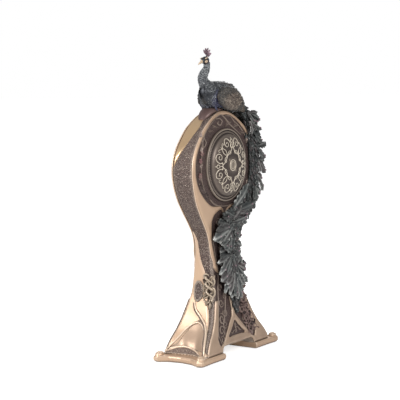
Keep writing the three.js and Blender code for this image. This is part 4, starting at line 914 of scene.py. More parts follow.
# Skins: flat plates cut from outlines, melted soft, and laid on the case
def flat_plate(name, outlines, thickness, smooth=True):
    """A plate in the XY plane from closed outlines in millimetres, the inner ones as holes."""
    curve = bpy.data.curves.new(name, "CURVE")
    curve.dimensions = "2D"
    curve.fill_mode = "BOTH"
    curve.extrude = thickness / 2 * MM
    for outline in outlines:
        points = smooth_path([(a, b, 0) for a, b in outline], 5, closed=True) if smooth else outline
        spline = curve.splines.new("POLY")
        spline.points.add(len(points) - 1)
        for point, at in zip(spline.points, points):
            point.co = (at[0] * MM, at[1] * MM, 0, 1)
        spline.use_cyclic_u = True
    obj = to_mesh(link(bpy.data.objects.new(name, curve)))
    weld(obj)
    return obj


def edge_tree(outlines):
    points = []
    for outline in outlines:
        points += smooth_path([(a, b, 0) for a, b in outline], 16, closed=True)
    tree = KDTree(len(points))
    for i, point in enumerate(points):
        tree.insert(point, i)
    tree.balance()
    return tree


def lay(obj, side, middle, along, profile=None, outlines=None):
    """Wraps a flat plate on the case: along "face" or "flank", at a distance from its surface.
    profile gives the height lost at a distance from the outline."""
    tree = edge_tree(outlines) if profile else None
    for vertex in obj.data.vertices:
        a, b, c = vertex.co / MM
        if tree and c > 0:
            _, _, distance = tree.find((a, b, 0))
            c -= profile(distance)
        if along == "face":
            at = Vector((a, side * (case_half_depth(b) + middle + c), b))
        else:
            at = Vector((side * (side_surface(a, b) + middle + c), a, b))
        vertex.co = at * MM
    edit(obj, FACES_OUT)


def crown(reach, drop):
    """A convex edge: the height lost near the outline of a skin."""
    return lambda distance: drop * max(0, 1 - distance / reach) ** 2


def make_skin(name, side, along, outlines, thickness, voxel, middle, edge=None, rounds=2):
    """A plate melted soft and laid on the case. edge gives its crown's reach and drop."""
    obj = flat_plate(name, outlines, thickness)
    fuse(obj, voxel, rounds)
    lay(obj, side, middle, along, crown(*edge) if edge else None, outlines)
    return obj


def make_frame(side, name):
    """The smooth strip round the head with its web and tips. It stands a little past the flanks."""
    overhang = 0.6
    outer = [
        (x + overhang * (wide == 1), z)
        for (x, z), (wide, _) in zip(on_face(FRAME_OUTER_SHARES), FRAME_OUTER_SHARES)
    ]
    inner = on_face(FRAME_INNER_SHARES)
    right = [*on_face(FRAME_LOWER_SHARES), *outer]
    rim = [*right, *flipped(right)[:-1]]
    window = [*inner, *flipped(inner)[1:-1]]
    return make_skin(
        name, side, "face", [rim, window], thickness=3.4, voxel=0.75, middle=0.7, edge=(4.6, 1.5),
    )


def divided(outline):
    """A closed outline with each of its straight sides cut into equal parts."""
    points = []
    parts = 3
    for (x0, z0), (x1, z1) in zip(outline, [*outline[1:], outline[0]]):
        points += [(x0 + (x1 - x0) * k / parts, z0 + (z1 - z0) * k / parts) for k in range(parts)]
    return points


def make_brace(side, name):
    """The brace over the arch, with its open triangle."""
    edge = case_half_width(RIM_HEIGHT) * 0.94
    foot = [(edge, RIM_HEIGHT + 0.4), (ARCH["half_width"] + FIT_GAP, RIM_HEIGHT + 0.4)]
    arch = [(x, z + FIT_GAP) for x, z in reversed(arch_half(RIM_HEIGHT)[:-1])]
    right = [*on_face(BRACE_PANEL_SHARES), *on_face(BRACE_OUTER_SHARES), *foot, *arch]
    outlines = [divided([*right, *flipped(right)]), divided(on_face(BRACE_TRIANGLE_SHARES))]
    return make_skin(
        name, side, "face", outlines, thickness=3.2, voxel=0.8, middle=0.7, edge=(3.4, 1.5), rounds=3,
    )


def make_apron(side, name):
    """The smooth skin of one flank, open over its niche."""
    outlines = [on_flank(APRON_SHARES), on_flank(NICHE_SHARES)]
    return make_skin(
        name, side, "flank", outlines, thickness=3.2, voxel=0.8, middle=0.1, edge=(3, 1.3), rounds=3,
    )


# Crescent of polished gold at the top of each flank: y and z in millimetres on the right side
CRESCENT_EDGE = [
    (10, 316), (4, 312.5), (4, 308.5), (6, 300.5), (3, 290), (0, 281.5), (-3.5, 272.5),
    (-7, 264.5), (-11, 255.5), (-14.5, 246),
]


def make_crescent(side, name):
    outer = [(max(-14.4, 0.5 - case_half_depth(z)), z) for z in (250, 262, 275, 288, 300, 310, 316)]
    rim = [*outer, *CRESCENT_EDGE]
    return make_skin(name, side, "flank", [rim], thickness=2.4, voxel=0.7, middle=-0.35, edge=(3, 0.9))


# Lines round the head: radius and points of x and z in millimetres on the rear face
GABLE_LINES = [
    (1.3, [(19, 312), (8, 316), (0, 312.5), (-8, 306), (-14, 301.5), (-25, 295.5), (-38, 288)]),
    (0.8, [(19.5, 311.5), (30, 305.5), (40.5, 298.5), (48.5, 290.5), (53.5, 281), (57, 272)]),
    (1.1, [(19.5, 310.5), (10.5, 311), (5.5, 307), (10, 302.5), (16, 304), (13.5, 307.5)]),
    (1.0, [(-4, 314), (-16, 313), (-24, 306), (-36, 299), (-47, 289), (-55, 277)]),
    (0.9, [(52.5, 293), (48.5, 286), (45.5, 281), (50.5, 276), (55, 284)]),
    (0.7, [(56, 268), (58, 258), (59, 248), (58, 238), (54, 226), (47, 216)]),
    (1.0, [(64, 230.5), (55, 224), (47, 216), (37.5, 208), (26, 200.5), (10, 196.5), (-8, 196), (-24, 199)]),
    (0.7, [(-56, 268), (-60, 254), (-59, 240), (-54, 226), (-46, 214), (-34, 205)]),
]
# Leaves: root, tip and half width
RELIEF_LEAVES = [
    ((52, 276), (56, 296), 3.4), ((57, 262), (53, 279), 2.6), ((44.5, 214), (62, 230), 3.8),
    ((36, 207), (49, 219), 3), ((59, 246), (57, 256), 2.4), ((58, 231), (62, 243), 2.4),
    ((16, 300), (28, 303), 2.6), ((28, 297), (39, 296), 2.6), ((-2, 300), (-16, 305), 2.8),
    ((-20, 298), (-33, 300), 2.8), ((-36, 289), (-48, 290), 2.8), ((-52, 276), (-58, 288), 2.8),
    ((-58, 258), (-64, 270), 2.6), ((-58, 236), (-65, 247), 2.8), ((-50, 218), (-60, 228), 3.2),
]
FLOWERS = [(60, 258.5), (61.5, 240), (56, 268), (-63, 256), (-65, 242), (-60, 228)]
# Spirals: centre, radius, start in turns, turns, and line radius
LOWER_CURLS = [
    ((29, 51), 7.5, 0.2, 1.4, 1.2), ((33, 37), 7, 0.75, -1.4, 1.1), ((23, 43), 5, 0.6, 1.2, 0.9),
    ((34, 25), 5, 0.1, 1.2, 0.9), ((19, 58), 5.5, 0.1, -1.2, 1), ((24, 71), 5.5, 0.5, 1.3, 1),
    ((12, 80), 5, 0, -1.3, 0.9), ((22, 92), 5, 0.4, 1.3, 0.9), ((12, 104), 5, 0.9, -1.2, 0.8),
    ((22, 122), 5, 0.7, 1.3, 0.8), ((10, 142), 5.5, 0.3, 1.2, 0.8), ((22, 158), 5, 0.2, -1.2, 0.8),
    ((16, 176), 5, 0.2, 1.2, 0.8),
]
LOWER_STEMS = [
    (1.1, [(37, 19), (42, 32), (40, 48), (33, 62), (29, 76), (26, 92), (22, 108), (24, 130), (28, 158)]),
    (0.9, [(26, 27), (27, 45), (20, 55), (15, 68), (10, 84), (8, 104), (10, 134), (8, 160), (12, 180)]),
]
BUSH_CURLS = [
    ((-27, 70), 7.5, 0.1, 1.5, 1.5), ((-20, 57), 6.5, 0.5, -1.4, 1.4), ((-33, 58), 7, 0.3, 1.4, 1.5),
    ((-27, 44), 7, 0.8, -1.4, 1.4), ((-39, 43), 7, 0, 1.4, 1.5), ((-34, 30), 6.5, 0.4, -1.4, 1.3),
    ((-45, 30), 5, 0.7, 1.3, 1.2), ((-18, 82), 6, 0.2, -1.3, 1.3), ((-30, 84), 4.5, 0.6, 1.3, 1.2),
]
# Lines of the lower panels and over the arch: radius and points of x and z
STEM_RELIEF = [
    (1, [(2, 29), (0, 33), (1, 38), (-1, 43)]),
    (0.8, [(0, 33), (6, 32), (10, 30), (13, 31)]), (0.8, [(0, 37), (-5, 35), (-9, 31), (-12, 31)]),
]


def drawn(rows, mirror, lift=0.3):
    """Raised lines on the rear face from rows of radius and points, turned over by a mirror of -1."""
    return [
        rear_stroke([(x * mirror, z) for x, z in points], radius, lift, thin_ends) for radius, points in rows
    ]


def drawn_curls(rows, mirror, lift=0.3):
    """Raised spirals on the rear face."""
    strokes = []
    for centre, radius, start, turns, line in rows:
        spiral = curl(centre, radius, start * math.tau, turns)
        strokes.append(rear_stroke([(x * mirror, z) for x, z in spiral], line, lift, thin_ends, 1))
    return strokes


def make_relief(mirror, name):
    """Raised lines, leaves and curls on one face."""
    lines = drawn([*GABLE_LINES, *STEM_RELIEF], mirror, 0.35)
    for wing in (1, -1):
        lines += drawn(LOWER_STEMS, wing) + drawn_curls(LOWER_CURLS, wing)
    rows = []
    for (x0, z0), (x1, z1), half in RELIEF_LEAVES:
        root, tip = (Vector((x * mirror, case_half_depth(z) + 0.1, z)) for x, z in ((x0, z0), (x1, z1)))
        middle = (root + tip) / 2 + Vector((0.16 * (z1 - z0), 1.6, -0.16 * (x1 - x0)))
        rows.append((root, middle, tip, half, REAR, 1.2))
    relief = join([*lines, plumes("leaves", rows, plume_mesh(16, 12))], name)
    if mirror < 0:
        bpy.context.view_layer.update()
        only(relief)
        bpy.ops.transform.mirror(constraint_axis=(False, True, False), center_override=(0, 0, 0))
        bpy.ops.object.transform_apply(scale=True)
        edit(relief, FACES_OUT)
    return relief


def make_flowers(name):
    petals = []
    for x, z in FLOWERS:
        centre = Vector((x, case_half_depth(z) + 0.7, z))
        for k in range(5):
            turn = k / 5 * math.tau + x
            out = Vector((math.cos(turn), 0, math.sin(turn)))
            petals.append(seat(centre + out * 2, out, REAR, (1.6, 2, 1.4)))
        petals.append(seat(centre + REAR * 0.6, Vector((0, 0, 1)), REAR, (1, 1, 1)))
    return place_copies(scale_base(), petals, name)


def make_bush(name):
    """Curled leaves that fill the lower panel on the train's side and hang over its edge strip."""
    rand = random.Random(11)
    rows = []
    for (x, z), radius, *_ in BUSH_CURLS:
        for _ in range(5):
            turn = rand.uniform(0, math.tau)
            out = Vector((math.cos(turn), 0, math.sin(turn)))
            root = Vector((x, case_half_depth(z) + 0.6, z)) + out * radius * 0.5
            tip = root + out * rand.uniform(5, 8)
            tip.y = case_half_depth(tip.z) + rand.uniform(0.4, 2.4)
            rows.append((root, (root + tip) / 2 + REAR * 1.8, tip, rand.uniform(2, 3), REAR, 1.2))
    leaves = plumes("bush_leaves", rows, plume_mesh(12, 10), 12)
    return join([*drawn_curls(BUSH_CURLS, 1, 1.5), leaves], name)


# Rear cover: a beaded ring, a groove, a milled ring and a dome, with a rosette of scrolls
def make_cover(name):
    bore = BORE_RADIUS - FIT_GAP
    hollow = bore - 2.2
    edge = COVER_RADIUS
    profile = [
        *[(hollow * t, dome_rise(t) * 0.9) for t in (0.004, 0.2, 0.4, 0.6, 0.8, 0.92, 1)],
        (hollow, -5), (bore, -5), (bore, 0.1), (edge, 0.1), (edge, 0.7), (edge - 0.3, 1.9), (edge - 1, 2.5),
        (edge - 1.8, 2.4), (edge - 2.4, 1.7), (edge - 2.8, 1.1), (edge - 3.3, 1.6), (44, 2.2), (43.2, 2.5),
        (42.2, 2.7), (41.5, 2.4), (41, 2.6),
        *[(DOME_RADIUS * t, DOME_FOOT + dome_rise(t))
          for t in (0.9, 0.82, 0.72, 0.6, 0.45, 0.3, 0.15, 0.004)],
    ]

    def milled(radius, u):
        return 0.22 * math.cos(u * math.tau * 120) if 41.3 < radius < 43.5 else 0

    return spun(name, [(radius, FACE_Y + y) for radius, y in profile], 480, milled)


# Scrolls of the rosette about its middle, for the quarter along x and for the one between two quarters:
# width, where it thins to a share at its end, whether it is closed, and its points
QUARTER_SCROLLS = [
    (0.75, 1, False, [(23.7, 1), (18, 5), (14.6, 9.5), (13, 13), (9.5, 14.6), (5, 18), (1, 23.7)]),
    (0.85, 1, False, [(24, -4.8), (23.4, 0), (24, 4.8)]),
    (0.7, 1, False, [(24, 0), (28.5, 0)]),
    (0.8, 0.4, False, [(34.2, 0), (36.8, 0)]),
]
CORNER_SCROLLS = [
    (0.6, 1, True, [(20, 0), (23, 2.3), (27, 2.7), (31.5, 0), (27, -2.7), (23, -2.3)]),
    (0.8, 1, False, [(18.4, -2.4), (19, 0), (18.4, 2.4)]),
    (0.8, 0.5, False, [(31.5, 0), (34.6, 0)]),
]
QUARTER_PAIRS = [
    (0.8, 0.65, False, [
        (24, 4.6), (27.6, 3.6), (32.2, 5.4), (34.8, 9.6), (33.6, 14), (29.6, 16), (25.6, 14.4), (24.4, 11),
        (26.6, 8.4), (29.4, 9.2), (29.8, 11.8), (28, 12.6),
    ]),
]
CORNER_PAIRS = [
    (0.65, 0.65, False, [
        (18.9, 2.2), (19.6, 5), (18.4, 8.4), (15.6, 9.2), (14.4, 7), (16, 5.4), (17.4, 6.4),
    ]),
    (0.6, 0.65, False, [(31.4, 1), (33.6, 3.2), (34.6, 6), (33, 7.4), (31.8, 5.8)]),
]


def ring_points(radius, count, x=0):
    return [(x + radius * math.cos(i / count * math.tau), radius * math.sin(i / count * math.tau))
            for i in range(count)]


def turned_scrolls(rows, turn, flip=1):
    """Scrolls turned about the rosette's middle, and turned over by a flip of -1."""
    c, s = math.cos(turn), math.sin(turn)
    strokes = []
    for width, end, closed, points in rows:
        points = [(x * c - y * flip * s, x * s + y * flip * c) for x, y in points]
        strokes.append(dome_stroke(points, width, closed, lambda t, end=end: 1 - (1 - end) * t))
    return strokes


def make_rosette(name):
    parts = [dome_stroke(ring_points(radius, 24), width, True) for radius, width in ((7, 0.75), (4.8, 0.5))]
    loop = (0.6, 1, True, ring_points(2.3, 12, 31.8))
    for k in range(4):
        turn = k * math.pi / 2
        parts += turned_scrolls([*QUARTER_SCROLLS, loop], turn)
        parts += turned_scrolls(CORNER_SCROLLS, turn + math.pi / 4)
        for flip in (1, -1):
            parts += turned_scrolls(QUARTER_PAIRS, turn, flip)
            parts += turned_scrolls(CORNER_PAIRS, turn + math.pi / 4, flip)
    bpy.ops.mesh.primitive_uv_sphere_add(segments=24, ring_count=12, radius=4.4 * MM)
    boss = bpy.context.object
    set_mask(boss, lambda co: (0, 1, 0))
    for vertex in boss.data.vertices:
        x, y, z = vertex.co / MM
        vertex.co = Vector((x, FACE_Y + 10.6 + y * 0.22, DIAL_HEIGHT + z)) * MM
    return join([*parts, boss], name)


# Bird, sizes as shares of its height, from the top of the case
def on_bird(x, y, z):
    return Vector((x * BIRD_HEIGHT - BIRD_SET_BACK, y * BIRD_HEIGHT, BODY_HEIGHT + z * BIRD_HEIGHT))


def bird_frames(shares):
    """Sections of a part of the bird, from rows of x, y, z, half height and half thickness."""
    return oval_frames([[*on_bird(x, y, z), h * BIRD_HEIGHT, d * BIRD_HEIGHT] for x, y, z, h, d in shares])


BODY_SHARES = [
    (0.53, 0, 0.33, 0.03, 0.03), (0.47, 0, 0.32, 0.13, 0.1), (0.32, 0, 0.27, 0.215, 0.16),
    (0.12, 0, 0.245, 0.235, 0.185), (-0.08, 0, 0.23, 0.23, 0.185), (-0.26, 0, 0.18, 0.195, 0.16),
    (-0.4, 0, 0.11, 0.15, 0.13), (-0.52, 0, 0.03, 0.09, 0.1),
]
NECK_SHARES = [
    (0.34, 0, 0.36, 0.13, 0.12), (0.42, 0, 0.42, 0.105, 0.1), (0.49, 0, 0.49, 0.083, 0.078),
    (0.505, 0, 0.555, 0.076, 0.07), (0.47, 0, 0.615, 0.07, 0.064), (0.415, 0, 0.67, 0.06, 0.055),
    (0.383, 0, 0.73, 0.045, 0.045), (0.385, 0, 0.78, 0.045, 0.045), (0.4, 0, 0.825, 0.045, 0.042),
]
HEAD_SHARES = [
    (0.355, 0, 0.845, 0.02, 0.02), (0.375, 0, 0.838, 0.05, 0.045), (0.43, 0, 0.832, 0.062, 0.053),
    (0.49, 0, 0.82, 0.048, 0.04), (0.53, 0, 0.806, 0.03, 0.024),
]
BEAK_SHARES = [
    (0.515, 0, 0.812, 0.03, 0.024), (0.54, 0, 0.802, 0.026, 0.02), (0.6, 0, 0.775, 0.014, 0.012),
    (0.637, 0, 0.755, 0.004, 0.004),
]
WING_SHARES = [
    (0.33, 0.16, 0.24, 0.03, 0.02), (0.27, 0.2, 0.235, 0.12, 0.04), (0.12, 0.225, 0.215, 0.175, 0.045),
    (-0.1, 0.225, 0.18, 0.16, 0.045), (-0.28, 0.2, 0.11, 0.11, 0.04), (-0.44, 0.165, 0.03, 0.06, 0.03),
    (-0.54, 0.14, -0.03, 0.02, 0.015),
]
PERCH_SHARES = [
    (0.56, 0, -0.14, 0.03, 0.05), (0.49, 0, -0.075, 0.06, 0.1), (0.38, 0, 0, 0.065, 0.13),
    (0.22, 0, 0.025, 0.05, 0.14), (0.1, 0, 0.03, 0.04, 0.12),
]
ALL_ROUND = [(0, math.tau)]


def make_bird():
    """Body, neck and head in one casting, covered with small feathers."""
    body, neck, head = (bird_frames(shares) for shares in (BODY_SHARES, NECK_SHARES, HEAD_SHARES))
    core = join([oval_body("body", body), oval_body("neck", neck, 20), oval_body("head", head, 20)], "core")
    fuse(core, 0.9, 3)
    set_mask(core, lambda co: (0, 0, 0))

    def breast(at):
        return max(0, 1 - math.hypot((at.x - 9) / 13, (at.z - BODY_HEIGHT - 14) / 16)) ** 0.6

    return join([
        core,
        scales_on(body, 3, len(body) - 4, ALL_ROUND, (1.9, 2.7, 0.9), "body_scales", tone=breast),
        scales_on(neck, 2, len(neck) - 4, ALL_ROUND, (1.2, 1.7, 0.7), "neck_scales", sign=-1, tone=breast),
    ], "peacock")


def make_crown(name):
    return scales_on(bird_frames(HEAD_SHARES), 1, 15, [(0, 1.1), (5.2, 6.3)], (0.8, 1.1, 0.5), name)


def make_back(name):
    """Large dark feathers over the back and the rump."""
    body = bird_frames(BODY_SHARES)
    rand = random.Random(3)
    rows = []
    for i in range(12, len(body) - 6, 2):
        ahead, across = body[i][1:3]
        for k in range(7):
            turn = (k - 3) / 3 * 1.5 + rand.uniform(-0.1, 0.1)
            root, out = oval_point(body[i], turn, -0.6)
            way = (ahead + across * turn * 0.12).normalized()
            tip = root + way * rand.uniform(9, 12) + out * rand.uniform(0.6, 2)
            rows.append((root, (root + tip) / 2 + out * 1.4, tip, rand.uniform(2.6, 3.6), out, 1))
    return plumes(name, rows, plume_mesh(10, 7), 4)


def make_breast(name):
    """Loose pointed feathers at the lower breast."""
    rand = random.Random(7)
    rows = []
    for _ in range(46):
        side = rand.uniform(-1, 1)
        level = rand.uniform(0, 1)
        x = 24 + 7.5 * level - abs(side) * 7
        root = Vector((x, side * (9 + 2 * (1 - level)), BODY_HEIGHT + 8 + 20 * level))
        tip = root + Vector((-1.5 - 4 * (1 - level), side * 1.5, -6 - rand.uniform(0, 3)))
        out = Vector((1, side * 1.1, 0.1)).normalized()
        rows.append((root, (root + tip) / 2 + out * 1.3, tip, rand.uniform(1.1, 1.7), out, 0.8))
    return plumes(name, rows, plume_mesh(10, 8), 8)


def make_wing(side, name):
    """A folded wing: small coverts and nine long quills."""
    frames = bird_frames([(x, y * side, z, h, d) for x, y, z, h, d in WING_SHARES])
    core = oval_body(name, frames, 24)
    set_mask(core, lambda co: (0, 0, 0.6))
    facing = [(0.15, 3.0)] if side > 0 else [(3.3, 6.15)]

    def fore(at):
        away = math.hypot((at.x + 12) / 21, (at.z - BODY_HEIGHT - 13) / 11)
        return max(0, min(1, (away - 0.75) / 0.4))

    coverts = scales_on(frames, 4, 26, facing, (2, 2.9, 1.1), f"{name}_coverts", tone=fore)
    rows = []
    for k in range(9):
        t = k / 8
        root = Vector((-10 - 14 * t, side * (20.2 - 2 * t), BODY_HEIGHT + 6 + 14 * (1 - t) ** 0.7 - 3 * t))
        tip = Vector((-42 - 7 * t, side * (16.6 - 1.4 * t), BODY_HEIGHT + 17 - 19 * t))
        middle = (root + tip) / 2 + Vector((0, side * 1.8, 2.4))
        rows.append((root, middle, tip, 2.6, Vector((0, side, 0.25)), 1))
    return join([core, coverts, plumes(f"{name}_quills", rows, plume_mesh(12, 12), 9)], name)


def make_crest(name):
    """A fan of thin stems, each with a small flag at its end."""
    foot = on_bird(0.39, 0, 0.885)
    parts, rows = [], []
    count = 9
    for i in range(count):
        share = i / (count - 1)
        angle = CREST_LEAN + CREST_SPREAD * (share - 0.5)
        length = sizes().crest_length / MM * (0.86 + 0.14 * math.sin(math.pi * share))
        way = Vector((-math.sin(angle), 0, math.cos(angle)))
        stem = tube("stem", [foot - way, foot + way * length * 0.4, foot + way * length * 0.75], 0.3)
        set_mask(stem, lambda co: (0, 0, 1))
        parts.append(stem)
        root = foot + way * length * 0.3
        tip = foot + way * length + REAR * (1.2 if i % 2 else -1.2)
        rows.append((root, (root + tip) / 2, tip, 1.7, REAR, 0.5))
    return join([*parts, plumes(f"{name}_tips", rows, plume_mesh(12, 10, 0.2), 6)], name)


# Train rows: x as a share of the half width, height share, half width, half thickness and lift as shares
# of the head's half depth
TRAIN_SHARES = [
    (-1.43, 1.035, 0.5, 0.62, -0.8), (-1.48, 1.012, 0.6, 0.8, -0.68), (-1.77, 0.975, 0.62, 0.85, -0.45),
    (-1.26, 0.932, 0.7, 0.7, -0.15), (-1.04, 0.885, 0.85, 0.42, 0.1), (-0.9, 0.83, 0.85, 0.34, 0.12),
    (-0.86, 0.77, 0.8, 0.3, 0.12), (-0.86, 0.71, 0.85, 0.3, 0.14), (-0.88, 0.66, 1, 0.36, 0.16),
    (-0.82, 0.615, 1.15, 0.42, 0.2), (-0.58, 0.57, 1.2, 0.46, 0.22), (-0.36, 0.52, 1.15, 0.46, 0.22),
    (-0.22, 0.47, 1.1, 0.46, 0.22), (-0.14, 0.42, 1, 0.46, 0.22), (-0.15, 0.37, 1, 0.44, 0.2),
    (-0.15, 0.32, 1.05, 0.4, 0.2), (-0.28, 0.27, 0.9, 0.34, 0.18), (-0.15, 0.225, 0.55, 0.24, 0.14),
    (-0.15, 0.19, 0.12, 0.1, 0.1),
]
TRAIN_NODES = ("train_shoulder", "train_edge", "train_sweep", "train_fall")
TRAIN_CUTS = (0, 4, 8, 13, 18)
# Fans: root and tip as shares like the train's, the half width as a share, the count and the node they ride
FAN_SHARES = [
    (-1.5, 0.99, -1.62, 0.945, 0.3, 3, 0), (-1.3, 0.955, -1.3, 0.9, 0.3, 3, 0),
    (-1.04, 0.9, -1.15, 0.862, 0.32, 3, 1), (-0.92, 0.85, -1.2, 0.803, 0.36, 3, 1),
    (-0.88, 0.79, -1.18, 0.735, 0.36, 3, 1), (-0.86, 0.73, -1.14, 0.66, 0.36, 3, 1),
    (-0.84, 0.68, -1.12, 0.61, 0.4, 3, 2), (-0.1, 0.585, -0.95, 0.625, 0.42, 5, 2),
    (0, 0.545, -0.85, 0.565, 0.4, 5, 2), (-0.35, 0.53, -0.82, 0.475, 0.4, 5, 2),
    (-0.3, 0.56, 0.35, 0.56, 0.36, 5, 2), (-0.25, 0.53, 0.85, 0.475, 0.5, 7, 2),
    (-0.1, 0.48, 0.7, 0.42, 0.4, 5, 2),
    (-0.3, 0.46, -0.8, 0.37, 0.4, 5, 3), (-0.3, 0.36, -0.35, 0.45, 0.44, 5, 3),
    (-0.15, 0.42, 0.85, 0.34, 0.48, 7, 3), (-0.2, 0.37, 0.75, 0.27, 0.46, 5, 3),
    (-0.3, 0.37, -0.95, 0.29, 0.4, 5, 3), (-0.2, 0.34, 0.1, 0.23, 0.46, 5, 3),
    (-0.2, 0.31, -0.4, 0.21, 0.4, 5, 3),
]


def train_width(high):
    return max(case_half_width(high * BODY_HEIGHT), HEAD_HALF_WIDTH * 0.42)


def train_rows():
    rows = []
    for wide, high, half, deep, lift in TRAIN_SHARES:
        rows.append([*on_train(wide, high, lift), half * HEAD_HALF_DEPTH, deep * HEAD_HALF_DEPTH])
    return rows


def on_train(wide, high, lift):
    z = high * BODY_HEIGHT
    return Vector((wide * train_width(high), case_half_depth(z) + HEAD_HALF_DEPTH * lift, z))


def clear_cover(at, space):
    """Moves a point out of the way of the rear cover, which slides off its seat."""
    out = Vector((at.x, 0, at.z - DIAL_HEIGHT))
    if out.length >= COVER_RADIUS + space:
        return at
    out = out.normalized() * (COVER_RADIUS + space)
    return Vector((out.x, at.y, out.z + DIAL_HEIGHT))


def train_layers(frames, wrap, rand):
    """Rows of small plumes along a length of the train, all round it where wrap is given."""
    spread, count_share, sway = (math.pi, 2, 0) if wrap else (1.35, 1, 0.7)
    layers = []
    for row, place in enumerate(frames[-2::-1]):
        _, ahead, _, up, half, _ = place
        count = max(2, round(half / 3)) * count_share
        for k in range(count):
            share = (k + 0.25 + 0.5 * (row % 2)) / count * 2 - 1
            turn = math.pi / 2 + share * spread + rand.uniform(-0.15, 0.15)
            root, out = oval_point(place, turn, -1.6)
            fan = (ahead + up * (share * sway + rand.uniform(-0.5, 0.5))).normalized()
            tip = clear_cover(root + fan * rand.uniform(7, 12) + out * rand.uniform(1, 3.5), 2)
            middle = clear_cover((root + tip) / 2 + out * rand.uniform(1, 2.4), 2)
            layers.append((root, middle, tip, rand.uniform(1.8, 3), out, rand.uniform(0.9, 1.3)))
    return layers


def train_fans(part, rand):
    """Large fans of one length of the train, and the places of the eye spots on them."""
    face = Vector((0, 1, 0.15)).normalized()
    fans, spots = [], []
    for x0, z0, x1, z1, wide, count, at in FAN_SHARES:
        if at != part:
            continue
        root, tip = on_train(x0, z0, 0.45), on_train(x1, z1, 0.5)
        way = tip - root
        for k in range(count):
            share = (k - (count - 1) / 2) * 2 / (count - 1)
            turn = Matrix.Rotation(share * 0.26 * count ** 0.7 + rand.uniform(-0.15, 0.15), 3, "Y")
            end = root + turn @ way * (1 - 0.3 * abs(share) + rand.uniform(-0.15, 0.1))
            end += REAR * rand.uniform(-2.5, 2.5)
            bow = Vector((rand.uniform(-2.5, 2.5), 4.6 - 2 * abs(share) + rand.uniform(-1, 1), 0))
            bow.z = rand.uniform(-2.5, 2.5)
            end, middle = clear_cover(end, 5), clear_cover((root + end) / 2 + bow, 5)
            tilt = (face + Vector((share * 0.6, 0, rand.uniform(-0.5, 0.5)))).normalized()
            fans.append((root, middle, end, wide * HEAD_HALF_DEPTH * rand.uniform(0.7, 1), tilt, 1.6))
            if share == 0 or rand.random() < 0.2:
                spot = root * 0.07 + middle * 0.38 + end * 0.55 + tilt * 2.6
                spots.append(seat(spot, way, tilt, (1.2, 1.5, 1)))
    return fans, spots


def make_train(part, name):
    """One length of the train: a dark core, layers of small plumes along it and large fans over them.
    Also gives the places of the eye spots on its fans."""
    rand = random.Random(name)
    frames = oval_frames(train_rows()[TRAIN_CUTS[part]:TRAIN_CUTS[part + 1] + 1], 5)
    core = oval_body("core", [(*row[:4], row[4] * 0.85, row[5] * 0.8) for row in frames], 20)
    set_mask(core, lambda co: (0, 0, 0))
    layers = train_layers(frames, part == 0, rand)
    fans, spots = train_fans(part, rand)
    layers = plumes(f"{name}_layers", layers, plume_mesh(10, 7), 20 + part, (0.05, 0.6))
    fans = plumes(f"{name}_fans", fans, plume_mesh(16, 18, 0.2), 30 + part, (0.25, 1.1))
    return join([core, layers, fans], name), spots


def make_beads(side, name):
    """Small curls on the knobs of one foot."""
    way = 1 if side == "right" else -1
    knob_x, knob_y = 88.4, 32
    _, high = size_of(f"foot_{side}")
    parts = []
    for place in (1, -1):
        for radius, start, turns, line in ((5.2, 0.1, 1.4, 0.9), (3.4, 0.55, 1.1, 0.7)):
            path = []
            for x, y in curl((knob_x, knob_y), radius, start * math.tau, turns):
                inside = max(0, 1 - ((x - knob_x) / 7) ** 2 - ((y - knob_y) / 5.4) ** 2)
                path.append(Vector((x * way, y * place, 8.4 + 5 * math.sqrt(inside))))
            parts.append(tube("curl", path, line, lambda t: 1 - 0.4 * t))
    curls = join(parts, name)
    for vertex in curls.data.vertices:
        vertex.co.z = min(vertex.co.z, (high.z - 0.05) * MM)
    return curls


# Tendrils of the vine, then its leaves as root, tip and half width: y and z in millimetres at the corner
VINE_TENDRILS = [
    [(6, 84), (3, 90), (5, 97), (10, 100), (12, 96), (9, 93)], [(17, 79), (21, 84), (20, 91), (16, 93)],
    [(6, 103), (3, 107), (7, 110), (11, 108)], [(19, 96), (20, 102), (16, 107), (12, 104)],
    [(8, 80), (5, 77), (9, 73), (14, 74), (14, 78)],
]
VINE_LEAVES = [
    ((10, 86), (3, 78), 2.4), ((14, 84), (19, 74), 2.6), ((8, 96), (2, 103), 2.2),
    ((14, 100), (20, 109), 2.2), ((12, 92), (20, 88), 2), ((12, 78), (10, 69), 2.2),
    ((9, 90), (2, 93), 2), ((16, 76), (17, 66), 2),
]


def on_corner(y, z, lift):
    """A point over the rear corner of the right flank."""
    return Vector((side_surface(min(y, case_half_depth(z) - CORNER_RADIUS), z) + lift, y, z))


def make_vine(name):
    """Two stems twisted together round the rear edge of the waist, with leaves and tendrils."""
    parts = []
    for phase in (0, math.pi):
        points = []
        for i in range(41):
            t = i / 40
            z = BODY_HEIGHT * (0.247 + 0.088 * t)
            turn = phase + t * 1.5 * math.tau
            x = case_half_width(z) + 2.4 * (1 - math.cos(turn + 1))
            points.append(Vector((x, case_half_depth(z) - 5 + 4.4 * math.cos(turn), z)))
        radius = sizes().vine_radius / MM
        parts.append(tube("stem", points, radius, lambda t: 0.6 + 0.4 * math.sin(math.pi * t)))
    for points in VINE_TENDRILS:
        path = smooth_path([on_corner(y, z, 2.4) for y, z in points], 4)
        parts.append(tube("tendril", path, 1.1, thin_ends))
    rows = []
    for (y0, z0), (y1, z1), half in VINE_LEAVES:
        root, tip = on_corner(y0, z0, 3), on_corner(y1, z1, 2.2)
        middle = (root + tip) / 2 + Vector((1.6, 0, 0))
        rows.append((root, middle, tip, half, Vector((1, 0.2, 0)).normalized(), 1))
    return join([*parts, plumes("vine_leaves", rows, plume_mesh(12, 10), 14)], name)


def melted_copy(node, name, voxel, rounds):
    """A copy of a frame node with soft cast edges."""
    obj = node_copy(node, name)
    fuse(obj, voxel, rounds)
    return obj


